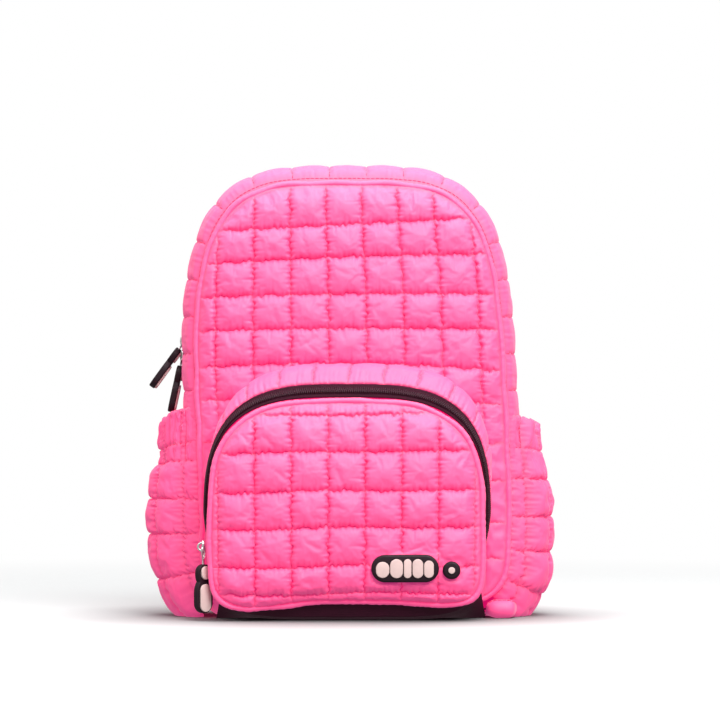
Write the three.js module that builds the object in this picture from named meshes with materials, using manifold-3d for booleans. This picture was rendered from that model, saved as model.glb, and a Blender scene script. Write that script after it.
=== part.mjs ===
// A quilted mini backpack, standing on its base.
// Millimetres, +Z up, the front pocket faces -Y and +X is to the right seen from the front.
// Bag coordinates: y = 0 is the seam round the front panel, and +y goes to the back.
import * as THREE from "three";
import { mergeVertices } from "three/addons/utils/BufferGeometryUtils.js";
import Module from "manifold-3d";

const wasm = await Module();
wasm.setup();

// Driving dimensions of the body
const CLEARANCE = 0.3;
const WALL = 5;
const BODY_DEPTH = 80;
const SEAM = { halfWidth: 102, waist: 110, top: 289, bottom: 8, topPower: 4, bottomPower: 7 };
const GUSSET_BULGE = 9;
const BASE_BULGE = 4.5;
const BASE_WALL = 3;
const BASE_HALF_LENGTH = 84;
const SLUMP = { shift: 5, low: 60, high: 220 };
const PIPING = { radius: 2.2, inset: 2.7, steps: 46, sides: 5 };
const PANEL_PIPING_DEPTH = 2.6;

// Depths of the bands round the body, front edge and back edge of each
const FRONT_GUSSET = { from: 5.4, to: 34 };
const ZIP_BAND = { from: 34.4, to: 45.6 };
const REAR_GUSSET = { from: 46, to: 74.6 };
const BACK_PANEL = { from: 75, to: BODY_DEPTH, inset: 1 };
const LOBE = { length: 24, height: 2.6 };
const TAPE = { wall: 1.5, recess: 2.5, coilRadius: 1.5, steps: 34, sides: 4 };
const COIL_START = 0.09;

// Quilting: puff of a cell, thickness at the edge and fullness of the dome; then for each panel the pitch of
// the sewn lines, the lowest line, the cells each way and the height of the dome
const QUILT = { puff: 4, edge: 4, fullness: 2.5 };
const PANEL_QUILT = { pitchX: 24.7, pitchZ: 23, lowest: -16, columns: 9, rows: 14, dome: 7 };
const FACE_QUILT = { pitchX: 23.9, pitchZ: 25, lowest: -15, columns: 9, rows: 7, dome: 8 };
const PANEL_FRONT = 0;
const FACE_FRONT = -35;

// Outlines of the front pocket, one row for each ring from the front panel out to the face
const RING_COLUMNS = ["depth", "halfWidth", "top", "bottom", "shift", "lift", "tuck"];
const RING_SHAPE = { waist: 60, topPower: 3.2, bottomPower: 6 };
const TUCK = { low: 20, high: 75 };
const POCKET_RINGS = {
  panel: [2.5, 93, 163, 15, 4, 0, 8],
  floor: [4.6, 96, 163, 0, 2, 0, 4],
  crest: [-14, 95.5, 167.6, 0, 2, 0, 9],
  rollEdge: [-25, 94, 155, 0, -0.5, 0, 9],
  tapeInner: [-25.4, 93.6, 154.6, 0.4, -0.5, 0, 9],
  tapeOuter: [-30.2, 91.6, 146.6, 3, -1.3, 5, 6],
  piping: [-33, 89.2, 143.8, 6, -1.3, 5, 0],
};
const TAPE_EDGES = ["tapeInner", "tapeOuter"];
const POCKET_ARCH_START = 0.155;
const POCKET_LOBE = 2.4;
const POCKET_BASE_WALL = 2;

// Side pockets: sewn to the gusset at the front, back and bottom, and open at a gathered hem
const SIDE_POCKET = { from: 8, to: 72, startLength: 92, hem: 136.6, wall: 3, gap: 0.6, fullness: 2.4 };
const SIDE_GATHER = { columns: 10, rows: 10, hem: 1.4, cell: 1.2 };
const SIDE_PUFF = [
  { z: 0, left: 4, right: 4 },
  { z: 9, left: 9, right: 6 },
  { z: 19, left: 15, right: 10 },
  { z: 32, left: 20, right: 13.5 },
  { z: 45, left: 22.4, right: 11.2 },
  { z: 59, left: 21.8, right: 14.1 },
  { z: 78, left: 21.4, right: 14.2 },
  { z: 98, left: 17.1, right: 11.8 },
  { z: 107, left: 12.7, right: 9.8 },
  { z: 116, left: 14.4, right: 8.4 },
  { z: 128, left: 12.2, right: 8.8 },
  { z: 137, left: 10.5, right: 7.5 },
];

// Rubber zip pulls on wire loops: height of the slider on its zip, turns about Z and swing away from the bag.
// The inlays are on the tab's front for face -1 and on its back for face 1.
const PULL = { length: 32, head: 5.6, body: 6.6, neck: 4.4, neckAt: 11.4, thickness: 3, bevel: 0.6 };
const PULL_INLAY = { head: 3.4, body: 4.2, length: 15.5, thickness: 0.8, bodyAt: 21.6 };
const WIRE = { radius: 0.6, sides: 6, steps: 11, halfWidth: 3, foot: 0.8 };
const SLIDER = { length: 9, width: 6, body: 1.2, hole: 1.5, slack: 0.1, bailWall: 1, bailWidth: 1.6 };
const PULLS = [
  { zip: "pocket", place: "", height: 51, loopTurn: 75, tabTurn: 40, swing: 0, loop: 12.5, face: -1 },
  { zip: "main", place: "_upper", height: 181, loopTurn: -90, tabTurn: -90, swing: 36, loop: 9, face: 1 },
  { zip: "main", place: "_lower", height: 166, loopTurn: -90, tabTurn: -90, swing: 9, loop: 9, face: 1 },
];

// Rubber patch and stud on the pocket face, from their front plane to a plane inside the face
const BADGE = { x: 36.7, z: 35, width: 44, height: 18, front: -47.7, sunk: -37.8, rim: 2.4 };
const STUD = { x: 67, z: 33.7, width: 11.6, height: 11.6, front: -45.2, sunk: -36, rim: 3.4 };
const INLAY_RISE = 0.8;

// Carrying parts on the back, right-hand side; the left-hand ones are mirrored
const STRAP_ROUTE = [
  { x: 29, y: 85.2, z: 268, width: 38 },
  { x: 29, y: 87, z: 254, width: 42 },
  { x: 31, y: 101, z: 232, width: 46 },
  { x: 37, y: 110, z: 192, width: 46 },
  { x: 48, y: 109, z: 150, width: 42 },
  { x: 58, y: 102, z: 112, width: 34 },
  { x: 62, y: 98, z: 97, width: 27 },
];
const STRAP = { thickness: 9, steps: 20 };
const WEBBING_ROUTE = [
  { x: 62.5, y: 100.2, z: 93, width: 20 },
  { x: 66, y: 97.2, z: 78, width: 20 },
  { x: 73, y: 89, z: 52, width: 20 },
  { x: 79, y: 81.6, z: 30, width: 20 },
  { x: 80.5, y: 81.3, z: 20, width: 20 },
];
const WEBBING = { thickness: 1.6, steps: 12 };
const LOCK = { width: 27, height: 19, thickness: 3.4, slot: 21, slotHeight: 3.6, slotAt: 4.2 };
const LOCK_SEAT = { x: 2.6, y: -2.6, z: -10, lean: 15, turn: -14 };
const GRAB_ROUTE = [
  { x: -36, y: 81.9, z: 281, width: 15 },
  { x: -27, y: 82.4, z: 282, width: 15 },
  { x: -17, y: 94, z: 283, width: 15 },
  { x: 0, y: 102, z: 283, width: 15 },
  { x: 17, y: 94, z: 283, width: 15 },
  { x: 27, y: 82.4, z: 282, width: 15 },
  { x: 36, y: 81.9, z: 281, width: 15 },
];
const GRAB = { thickness: 2.6, steps: 20 };

// Materials
function finish(color, roughness, metalness = 0) {
  return new THREE.MeshStandardMaterial({ color, roughness, metalness });
}
const quiltedNylon = finish("#ff5fb0", 0.5);
const pipingNylon = finish("#ff5aa8", 0.45);
const baseCloth = finish("#241820", 0.8);
const zipCloth = finish("#1d151b", 0.75);
const zipNylon = finish("#2b2128", 0.4);
const blackRubber = finish("#2a1c24", 0.55);
const creamRubber = finish("#ffe3e3", 0.55);
const paleMetal = finish("#d8d4d2", 0.3, 1);
const blackWebbing = finish("#201820", 0.85);
const blackPlastic = finish("#1b161a", 0.45);

const backpack = new THREE.Group();

function addPiece(name, geometry, material, parent = backpack) {
  const mesh = new THREE.Mesh(geometry, material);
  mesh.name = name;
  parent.add(mesh);
}

// Closed meshes bent from a box, a ring or a rod

function weld(geometry) {
  geometry.deleteAttribute("normal");
  geometry.deleteAttribute("uv");
  return mergeVertices(geometry, 1e-4);
}

function bend(geometry, place) {
  const position = geometry.attributes.position;
  for (let i = 0; i < position.count; i++) {
    const point = place(position.getX(i), position.getY(i), position.getZ(i));
    position.setXYZ(i, point.x, point.y, point.z);
  }
  return weld(geometry);
}

// A wall with an outer and an inner skin; place(u, v, outer) gives a point for u and v from 0 to 1
function wall(columns, rows, place) {
  const box = new THREE.BoxGeometry(1, 1, 1, columns, rows, 1);
  return bend(box, (x, y, z) => place(x + 0.5, y + 0.5, z > 0));
}

// A closed ring of round section; place(turn, out, across) offsets a point of the ring's centre line
function ring(steps, sides, radius, place) {
  const middle = 10 * radius;
  const torus = new THREE.TorusGeometry(middle, radius, sides, steps);
  return bend(torus, (x, y, z) => {
    const turn = (Math.atan2(y, x) / (2 * Math.PI) + 1) % 1;
    return place(turn, Math.hypot(x, y) - middle, z);
  });
}

// A rod of round section with flat ends; place(along, out, across) offsets a point of its centre line
function rod(steps, sides, radius, place) {
  const cylinder = new THREE.CylinderGeometry(radius, radius, 1, sides, steps);
  return bend(cylinder, (x, y, z) => place(y + 0.5, x, z));
}

// A flat band along a route; it keeps its width near the given axis and is thinner at its edges
function band(route, { thickness, steps }, axis) {
  const curve = new THREE.CatmullRomCurve3(route.map(({ x, y, z }) => new THREE.Vector3(x, y, z)));
  const widthAt = (t) => {
    const span = Math.min(t * (route.length - 1), route.length - 1.001);
    const row = Math.floor(span);
    return THREE.MathUtils.lerp(route[row].width, route[row + 1].width, span - row);
  };
  return wall(steps, 2, (u, v, outer) => {
    const tangent = curve.getTangent(u);
    const across = axis.clone().addScaledVector(tangent, -axis.dot(tangent)).normalize();
    const out = new THREE.Vector3().crossVectors(tangent, across);
    const side = 2 * v - 1;
    const half = (thickness / 2) * (1 - 0.45 * side * side);
    const point = curve.getPoint(u).addScaledVector(across, (side * widthAt(u)) / 2);
    return point.addScaledVector(out, outer ? half : -half);
  });
}

// Solids for cutting

function toSolid(geometry) {
  const vertProperties = new Float32Array(geometry.attributes.position.array);
  const triVerts = new Uint32Array(geometry.index.array);
  return new wasm.Manifold(new wasm.Mesh({ numProp: 3, vertProperties, triVerts }));
}

function toGeometry(solid) {
  const mesh = solid.getMesh();
  const geometry = new THREE.BufferGeometry();
  geometry.setAttribute("position", new THREE.BufferAttribute(new Float32Array(mesh.vertProperties), 3));
  geometry.setIndex(new THREE.BufferAttribute(new Uint32Array(mesh.triVerts), 1));
  return geometry;
}

const cut = (geometry, cutter) => toGeometry(toSolid(geometry).subtract(toSolid(cutter)));

// Outlines: a superellipse with its own power above and below the waist, walked by its length from the
// bottom centre up the right side. lift raises the middle of the lower edge, and tuck pulls in its sides.
function outline(shape, inset = 0) {
  const { halfWidth, waist, top, bottom, topPower, bottomPower, shift = 0, lift = 0, tuck = 0 } = shape;
  const samples = 720;
  const points = [];
  const lengths = [];
  for (let i = 0; i <= samples; i++) {
    const angle = (i / samples) * 2 * Math.PI - Math.PI / 2;
    const power = 2 / (Math.sin(angle) >= 0 ? topPower : bottomPower);
    const tall = (Math.sin(angle) >= 0 ? top - waist : waist - bottom) - inset;
    const across = Math.sign(Math.cos(angle)) * Math.abs(Math.cos(angle)) ** power;
    const up = Math.sign(Math.sin(angle)) * Math.abs(Math.sin(angle)) ** power;
    const z = waist + tall * up;
    const tucked = tuck * (1 - THREE.MathUtils.smoothstep(z, TUCK.low, TUCK.high));
    const raised = lift * (1 - across * across) * Math.max(0, -up) ** 6;
    points.push({ x: shift + (halfWidth - inset - tucked) * across, z: z + raised });
    const last = points[Math.max(0, i - 1)];
    lengths.push((lengths[i - 1] ?? 0) + Math.hypot(points[i].x - last.x, points[i].z - last.z));
  }
  const total = lengths[samples];
  const pointAt = (s) => {
    const want = (s - Math.floor(s)) * total;
    const high = Math.max(1, lengths.findIndex((length) => length >= want));
    const part = (want - lengths[high - 1]) / (lengths[high] - lengths[high - 1]);
    return {
      x: THREE.MathUtils.lerp(points[high - 1].x, points[high].x, part),
      z: THREE.MathUtils.lerp(points[high - 1].z, points[high].z, part),
    };
  };
  const at = (s) => {
    const step = 0.004;
    const before = pointAt(s - step);
    const after = pointAt(s + step);
    const length = Math.hypot(after.x - before.x, after.z - before.z);
    return { ...pointAt(s), nx: (after.z - before.z) / length, nz: (before.x - after.x) / length };
  };
  // Place on the right-hand side at a height, found by halving
  const rightAt = (z) => {
    let low = 0;
    let high = 0.5;
    for (let i = 0; i < 40; i++) {
      const middle = (low + high) / 2;
      if (pointAt(middle).z < z) low = middle;
      else high = middle;
    }
    return low;
  };
  return { at, total, rightAt };
}

// The bag leans a little to the right as it settles on its base
function leanAt(z) {
  return SLUMP.shift * (1 - THREE.MathUtils.smoothstep(z, SLUMP.low, SLUMP.high));
}

function settle(point) {
  point.x += leanAt(point.z);
  return point;
}

// A prism through the bag along Y with the shape of an outline
function outlinePrism(line, front, back, place) {
  const steps = PIPING.steps;
  const corners = Array.from({ length: steps }, (_, i) => {
    const { x, z } = line.at(i / steps);
    const point = place(new THREE.Vector3(x, 0, z));
    return new THREE.Vector2(point.x, point.z);
  });
  const shape = new THREE.Shape(corners);
  const prism = new THREE.ExtrudeGeometry(shape, { depth: back - front, bevelEnabled: false });
  prism.rotateX(Math.PI / 2);
  prism.translate(0, back, 0);
  return weld(prism);
}

// Quilted panels: cell centres stand proud of the sewn lines, and the whole panel is domed

function domeAt(quilt, shape, x, z) {
  const middle = (shape.top + shape.bottom) / 2;
  const across = Math.min(1, Math.abs(x / shape.halfWidth));
  const up = Math.min(1, Math.abs((z - middle) / (shape.top - middle)));
  return quilt.dome * (1 - across ** QUILT.fullness) * (1 - up ** QUILT.fullness);
}

function quiltedPanel(quilt, shape, front, place) {
  const columns = 2 * quilt.columns;
  const rows = 2 * quilt.rows;
  const slab = wall(columns, rows, (u, v, outer) => {
    const x = (u - 0.5) * quilt.pitchX * quilt.columns;
    const z = quilt.lowest + v * quilt.pitchZ * quilt.rows;
    const centre = Math.round(u * columns) % 2 === 1 && Math.round(v * rows) % 2 === 1;
    const proud = centre ? QUILT.puff : 0;
    const y = front + (outer ? -domeAt(quilt, shape, x, z) - proud : QUILT.edge);
    return place(new THREE.Vector3(x, y, z));
  });
  const prism = outlinePrism(outline(shape, PIPING.inset), front - 40, front + 20, place);
  return toGeometry(toSolid(slab).intersect(toSolid(prism)));
}

// Main body

const seam = outline(SEAM);
const archStart = BASE_HALF_LENGTH / seam.total;
const archAt = (u) => archStart + u * (1 - 2 * archStart);

// A point of the gusset: s runs round the seam, depth to the back, height out of the cloth
function gussetPoint(s, depth, height) {
  const { x, z, nx, nz } = seam.at(s);
  const across = 1 - Math.abs(1 - (2 * depth) / BODY_DEPTH) ** 3;
  const bulge = GUSSET_BULGE + BASE_BULGE * Math.max(0, -nz) ** 2;
  const reach = bulge * across + height;
  const lowest = Math.max(0, -height);
  return settle(new THREE.Vector3(x + nx * reach, depth, Math.max(z + nz * reach, lowest)));
}

const lobeAt = (depth) => LOBE.height * (1 - Math.abs(1 - (2 * depth) / BODY_DEPTH) ** 4);

function gussetBand({ from, to }, rows) {
  const columns = 2 * Math.round((seam.total - 2 * BASE_HALF_LENGTH) / LOBE.length);
  return wall(columns, rows, (u, v, outer) => {
    const depth = from + v * (to - from);
    const raised = Math.round(u * columns) % 2 === 1 ? lobeAt(depth) : 0;
    return gussetPoint(archAt(1 - u), depth, outer ? raised : -WALL);
  });
}

function mainZipTape() {
  const { from, to } = ZIP_BAND;
  return wall(TAPE.steps, 1, (u, v, outer) => {
    const height = outer ? -TAPE.recess : -TAPE.recess - TAPE.wall;
    return gussetPoint(archAt(1 - u), from + v * (to - from), height);
  });
}

const coilHeight = TAPE.coilRadius + 2 * CLEARANCE - TAPE.recess;

function mainZipCoil() {
  return rod(TAPE.steps, TAPE.sides, TAPE.coilRadius, (along, out, across) => {
    const s = archAt(COIL_START + along * (1 - 2 * COIL_START));
    return gussetPoint(s, BODY_DEPTH / 2 - across, coilHeight + out);
  });
}

function basePanel() {
  const span = archStart - CLEARANCE / seam.total;
  return wall(10, 5, (u, v, outer) => {
    const depth = FRONT_GUSSET.from + v * (REAR_GUSSET.to - FRONT_GUSSET.from);
    return gussetPoint(span * (1 - 2 * u), depth, outer ? 0 : -BASE_WALL);
  });
}

function pipingRing(line, depth, place) {
  return ring(PIPING.steps, PIPING.sides, PIPING.radius, (turn, out, across) => {
    const { x, z, nx, nz } = line.at(turn);
    return place(new THREE.Vector3(x + nx * out, depth - across, z + nz * out));
  });
}

const frontPanel = quiltedPanel(PANEL_QUILT, SEAM, PANEL_FRONT, settle);
addPiece("front_panel", frontPanel, quiltedNylon);
addPiece("front_panel_piping", pipingRing(seam, PANEL_PIPING_DEPTH, settle), pipingNylon);
addPiece("front_gusset", gussetBand(FRONT_GUSSET, 2), quiltedNylon);
addPiece("main_zip_tape", mainZipTape(), zipCloth);
addPiece("main_zip_coil", mainZipCoil(), zipNylon);
addPiece("rear_gusset", gussetBand(REAR_GUSSET, 2), quiltedNylon);
const backOutline = outline(SEAM, BACK_PANEL.inset);
addPiece("back_panel", outlinePrism(backOutline, BACK_PANEL.from, BACK_PANEL.to, settle), quiltedNylon);
addPiece("base_panel", basePanel(), baseCloth);

// Front pocket

const stay = (point) => point;
const pocketRing = (name) => {
  const sizes = POCKET_RINGS[name].map((value, i) => [RING_COLUMNS[i], value]);
  return { ...RING_SHAPE, ...Object.fromEntries(sizes) };
};

// The cloth between rings, from the front panel outwards; lobes stand proud in the middle of the span
function pocketWall(names, thickness, columns, from, to, lobe = 0) {
  const rings = names.map((name) => {
    const shape = pocketRing(name);
    return { name, shape, outer: outline(shape), inner: outline(shape, thickness) };
  });
  return wall(columns, names.length - 1, (u, v, outer) => {
    const { name, shape, outer: outerLine, inner: innerLine } = rings[Math.round(v * (names.length - 1))];
    const { x, z, nx, nz } = (outer ? outerLine : innerLine).at(from + u * (to - from));
    const raised = outer && name === "crest" && Math.round(u * columns) % 2 === 1 ? lobe : 0;
    const dome = name === "panel" ? domeAt(PANEL_QUILT, SEAM, x - leanAt(z), z) : 0;
    const height = name === "floor" ? (outer ? 0 : thickness) : z + nz * raised;
    return new THREE.Vector3(x + nx * raised, shape.depth - dome, height);
  });
}

function pocketGusset() {
  const crest = outline(pocketRing("crest"));
  const columns = 2 * Math.round((crest.total * (1 - 2 * POCKET_ARCH_START)) / LOBE.length);
  const rings = ["panel", "crest", "rollEdge"];
  const cloth = pocketWall(rings, WALL, columns, POCKET_ARCH_START, 1 - POCKET_ARCH_START, POCKET_LOBE);
  return cut(cloth, frontPanel.clone().translate(0, -CLEARANCE, 0));
}

function pocketBase() {
  const span = POCKET_ARCH_START - 0.001;
  return pocketWall(["floor", "crest", "rollEdge", "tapeOuter"], POCKET_BASE_WALL, 12, -span, span);
}

function pocketZipTape() {
  return pocketWall(TAPE_EDGES, TAPE.wall, TAPE.steps, POCKET_ARCH_START, 1 - POCKET_ARCH_START);
}

// The coil lies on the middle of the tape, along its own outward direction
const tapeEdges = TAPE_EDGES.map((name) => ({ shape: pocketRing(name), line: outline(pocketRing(name)) }));

function pocketCoilAt(s) {
  const [inner, outer] = tapeEdges.map(({ shape, line }) => {
    const { x, z } = line.at(s);
    return new THREE.Vector3(x, shape.depth, z);
  });
  const { nx, nz } = tapeEdges[0].line.at(s);
  const along = new THREE.Vector3(-nz, 0, nx);
  const across = outer.clone().sub(inner).normalize();
  const out = new THREE.Vector3().crossVectors(along, across).normalize();
  const seat = inner.lerp(outer, 0.5).addScaledVector(out, TAPE.coilRadius + 2 * CLEARANCE);
  return { seat, out, across };
}

function pocketZipCoil() {
  return rod(TAPE.steps, TAPE.sides, TAPE.coilRadius, (along, out, across) => {
    const coil = pocketCoilAt(POCKET_ARCH_START + along * (1 - 2 * POCKET_ARCH_START));
    return coil.seat.addScaledVector(coil.out, out).addScaledVector(coil.across, across);
  });
}

const faceRing = pocketRing("piping");
const moveToFace = (point) => point.setX(point.x + faceRing.shift);
const faceShape = { ...faceRing, shift: 0 };
const pocketFace = quiltedPanel(FACE_QUILT, faceShape, FACE_FRONT, moveToFace);
addPiece("pocket_gusset", pocketGusset(), quiltedNylon);
addPiece("pocket_zip_tape", pocketZipTape(), zipCloth);
addPiece("pocket_zip_coil", pocketZipCoil(), zipNylon);
addPiece("pocket_panel", pocketFace, quiltedNylon);
addPiece("pocket_piping", pipingRing(outline(faceRing), faceRing.depth, stay), pipingNylon);
addPiece("pocket_base", pocketBase(), baseCloth);

// Side pockets

function puffAt(z, side) {
  const row = Math.max(1, SIDE_PUFF.findIndex((entry) => entry.z >= z));
  const below = SIDE_PUFF[row - 1];
  const above = SIDE_PUFF[row];
  return THREE.MathUtils.mapLinear(z, below.z, above.z, below[side], above[side]);
}

function sidePocket(side) {
  const { from, to, fullness } = SIDE_POCKET;
  const { columns, rows } = SIDE_GATHER;
  const start = SIDE_POCKET.startLength / seam.total;
  const end = seam.rightAt(SIDE_POCKET.hem);
  return wall(columns, rows, (u, v, outer) => {
    const along = side === "right" ? u : 1 - u;
    const depth = from + along * (to - from);
    const s = start + v * (end - start);
    const full = 1 - Math.abs(2 * u - 1) ** fullness;
    const column = Math.round(u * columns);
    const row = Math.round(v * rows);
    const gather = row >= rows - 1 ? SIDE_GATHER.hem : SIDE_GATHER.cell * (row % 2);
    const puff = full * (puffAt(Math.max(0, seam.at(s).z), side) + gather * (column % 2 ? 1 : -1));
    const height = lobeAt(depth) + SIDE_POCKET.gap + puff + (outer ? SIDE_POCKET.wall : 0);
    return gussetPoint(side === "right" ? s : 1 - s, depth, height);
  });
}

addPiece("side_pocket_left", sidePocket("left"), quiltedNylon);
addPiece("side_pocket_right", sidePocket("right"), quiltedNylon);

// Zip sliders, loops and pulls: outwards is -Y and the pull hangs down -Z in their own groups

const bailHeight = SLIDER.body + SLIDER.hole;

function extruded(shape, depth, options = {}) {
  return weld(new THREE.ExtrudeGeometry(shape, { depth, bevelEnabled: false, curveSegments: 4, ...options }));
}

// The body lies along the zip, and the bail that stands on it is pierced for the loop
function sliderGeometry() {
  const { length, width, body, hole, bailWall, bailWidth } = SLIDER;
  const base = weld(new THREE.BoxGeometry(width, body, length));
  base.translate(0, -body / 2, 0);
  const bailShape = new THREE.Shape();
  bailShape.absarc(-bailHeight, 0, hole + bailWall, 0, 2 * Math.PI);
  const eye = new THREE.Path();
  eye.absarc(-bailHeight, 0, hole, 0, 2 * Math.PI, true);
  bailShape.holes.push(eye);
  const bail = extruded(bailShape, bailWidth);
  bail.applyMatrix4(new THREE.Matrix4().makeBasis(
    new THREE.Vector3(0, 1, 0),
    new THREE.Vector3(0, 0, 1),
    new THREE.Vector3(1, 0, 0),
  ));
  bail.translate(-bailWidth / 2, 0, 0);
  return toGeometry(toSolid(base).add(toSolid(bail)));
}

function loopGeometry(length) {
  const { radius, sides, steps, halfWidth, foot } = WIRE;
  const right = [
    new THREE.Vector3(halfWidth * 0.75, 0, -1.4),
    new THREE.Vector3(halfWidth, 0, -0.38 * length),
    new THREE.Vector3(foot, 0, -0.76 * length),
    new THREE.Vector3(foot, 0, -length),
  ];
  const left = right.map(({ x, z }) => new THREE.Vector3(-x, 0, z)).reverse();
  const points = [...left, new THREE.Vector3(), ...right];
  const section = new THREE.Shape().absarc(0, 0, radius, 0, 2 * Math.PI);
  const extrudePath = new THREE.CatmullRomCurve3(points);
  return weld(new THREE.ExtrudeGeometry(section, { steps, extrudePath, curveSegments: sides / 2 }));
}

function pullShape() {
  const { length, head, body, neck, neckAt } = PULL;
  const shape = new THREE.Shape();
  shape.moveTo(0, 0);
  shape.bezierCurveTo(head * 0.6, 0, head, -head * 0.45, head, -head);
  shape.quadraticCurveTo(head, -neckAt * 0.85, neck, -neckAt);
  shape.quadraticCurveTo(body, -neckAt - 3, body, -neckAt - 8);
  shape.lineTo(body, -length + body);
  shape.absarc(0, -length + body, body, 0, -Math.PI, true);
  shape.lineTo(-body, -neckAt - 8);
  shape.quadraticCurveTo(-body, -neckAt - 3, -neck, -neckAt);
  shape.quadraticCurveTo(-head, -neckAt * 0.85, -head, -head);
  shape.bezierCurveTo(-head, -head * 0.45, -head * 0.6, 0, 0, 0);
  return shape;
}

function ovalShape(centre, halfWidth, length) {
  const straight = length / 2 - halfWidth;
  const shape = new THREE.Shape();
  shape.absarc(0, -centre + straight, halfWidth, 0, Math.PI);
  shape.absarc(0, -centre - straight, halfWidth, Math.PI, 2 * Math.PI);
  return shape;
}

// Stands a shape that was drawn in X and Y up in X and Z, with its front at the given y
function upright(geometry, front) {
  return geometry.rotateX(Math.PI / 2).translate(0, front, 0);
}

function pullGroup({ zip, place, loop, loopTurn, tabTurn, swing, face }) {
  const hang = new THREE.Group();
  hang.rotation.set(THREE.MathUtils.degToRad(-swing), 0, THREE.MathUtils.degToRad(loopTurn), "ZXY");
  addPiece(`${zip}_pull_loop${place}`, loopGeometry(loop), paleMetal, hang);
  const tab = new THREE.Group();
  tab.position.z = -loop - CLEARANCE;
  tab.rotation.z = THREE.MathUtils.degToRad(tabTurn - loopTurn);
  hang.add(tab);
  const { thickness, bevel } = PULL;
  const rounded = {
    curveSegments: 3,
    bevelEnabled: true,
    bevelThickness: bevel,
    bevelSize: bevel,
    bevelOffset: -bevel,
    bevelSegments: 1,
  };
  const rubber = upright(extruded(pullShape(), thickness, rounded), thickness / 2);
  addPiece(`${zip}_pull${place}`, rubber, blackRubber, tab);
  const half = thickness / 2 + bevel + CLEARANCE;
  const inlayBack = face < 0 ? -half : half + PULL_INLAY.thickness;
  const { head, body, length, bodyAt } = PULL_INLAY;
  const headInlay = extruded(ovalShape(PULL.head, head, 2 * head), PULL_INLAY.thickness);
  const bodyInlay = extruded(ovalShape(bodyAt, body, length), PULL_INLAY.thickness);
  addPiece(`${zip}_pull_head_inlay${place}`, upright(headInlay, inlayBack), creamRubber, tab);
  addPiece(`${zip}_pull_body_inlay${place}`, upright(bodyInlay, inlayBack), creamRubber, tab);
  return hang;
}

// A slider rides on its coil and faces out of the zip
function sliderSeat({ zip, height }) {
  const proud = TAPE.coilRadius + CLEARANCE;
  if (zip === "main") {
    return gussetPoint(1 - seam.rightAt(height), BODY_DEPTH / 2, coilHeight + proud);
  }
  const { seat, out } = pocketCoilAt(1 - tapeEdges[0].line.rightAt(height));
  return seat.addScaledVector(out, proud + 2 * CLEARANCE);
}

for (const pull of PULLS) {
  const group = new THREE.Group();
  group.position.copy(sliderSeat(pull));
  const slider = new THREE.Group();
  slider.rotation.z = -Math.PI / 2;
  addPiece(`${pull.zip}_slider${pull.place}`, sliderGeometry(), paleMetal, slider);
  const hang = pullGroup(pull);
  hang.position.set(-bailHeight, 0, -SLIDER.slack);
  group.add(slider, hang);
  backpack.add(group);
}

// Badge and stud: pills seated on the quilted pocket face, each with a plain inlay

function pill(width, height, depth) {
  const shape = new THREE.Shape();
  const radius = height / 2;
  const straight = (width - height) / 2;
  shape.absarc(straight, 0, radius, -Math.PI / 2, Math.PI / 2);
  shape.absarc(-straight, 0, radius, Math.PI / 2, (3 * Math.PI) / 2);
  return extruded(shape, depth);
}

function patch(name, { x, z, width, height, front, sunk, rim }) {
  const base = upright(pill(width, height, sunk - front), sunk).translate(x, 0, z);
  addPiece(`${name}_base`, cut(base, pocketFace.clone().translate(0, -CLEARANCE, 0)), blackRubber);
  const inlay = pill(width - 2 * rim, height - 2 * rim, INLAY_RISE);
  addPiece(`${name}_inlay`, upright(inlay, front - CLEARANCE).translate(x, 0, z), creamRubber);
}

patch("badge", BADGE);
patch("stud", STUD);

// Carrying parts

const mirrored = (route) => route.map((row) => ({ ...row, x: -row.x }));

function lockGeometry() {
  const { width, height, thickness, slot, slotHeight, slotAt } = LOCK;
  const rectangle = (path, w, h, z) => {
    path.moveTo(-w / 2, z - h / 2);
    path.lineTo(w / 2, z - h / 2);
    path.lineTo(w / 2, z + h / 2);
    path.lineTo(-w / 2, z + h / 2);
    return path;
  };
  const shape = rectangle(new THREE.Shape(), width, height, 0);
  shape.holes.push(rectangle(new THREE.Path(), slot, slotHeight, slotAt));
  shape.holes.push(rectangle(new THREE.Path(), slot, slotHeight, -slotAt));
  return upright(extruded(shape, thickness), thickness / 2);
}

function carrying(side) {
  const sign = side === "right" ? 1 : -1;
  const follow = (route) => (side === "right" ? route : mirrored(route));
  const across = new THREE.Vector3(-1, 0, 0);
  const end = STRAP_ROUTE[STRAP_ROUTE.length - 1];
  addPiece(`shoulder_strap_${side}`, band(follow(STRAP_ROUTE), STRAP, across), quiltedNylon);
  addPiece(`strap_webbing_${side}`, band(follow(WEBBING_ROUTE), WEBBING, across), blackWebbing);
  const group = new THREE.Group();
  const { x, y, z, lean, turn } = LOCK_SEAT;
  group.position.set(sign * (end.x + x), end.y + y, end.z + z);
  group.rotation.set(THREE.MathUtils.degToRad(-lean), THREE.MathUtils.degToRad(sign * turn), 0);
  addPiece(`ladder_lock_${side}`, lockGeometry(), blackPlastic, group);
  backpack.add(group);
}

carrying("left");
carrying("right");
addPiece("grab_loop", band(GRAB_ROUTE, GRAB, new THREE.Vector3(0, 0, -1)), blackWebbing);

// The origin is the middle of the box's underside
const box = new THREE.Box3().setFromObject(backpack);
const middle = box.getCenter(new THREE.Vector3());
backpack.position.set(-middle.x, -middle.y, -box.min.z);

export default backpack;
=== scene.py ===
"""Quilted mini backpack: the padded cloth, piping, zips, pulls and straps, made over its solids."""

import math

import bmesh
import bpy
import numpy as np
from bpy.props import FloatProperty, FloatVectorProperty, PointerProperty
from mathutils import Euler, Matrix, Vector


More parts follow.
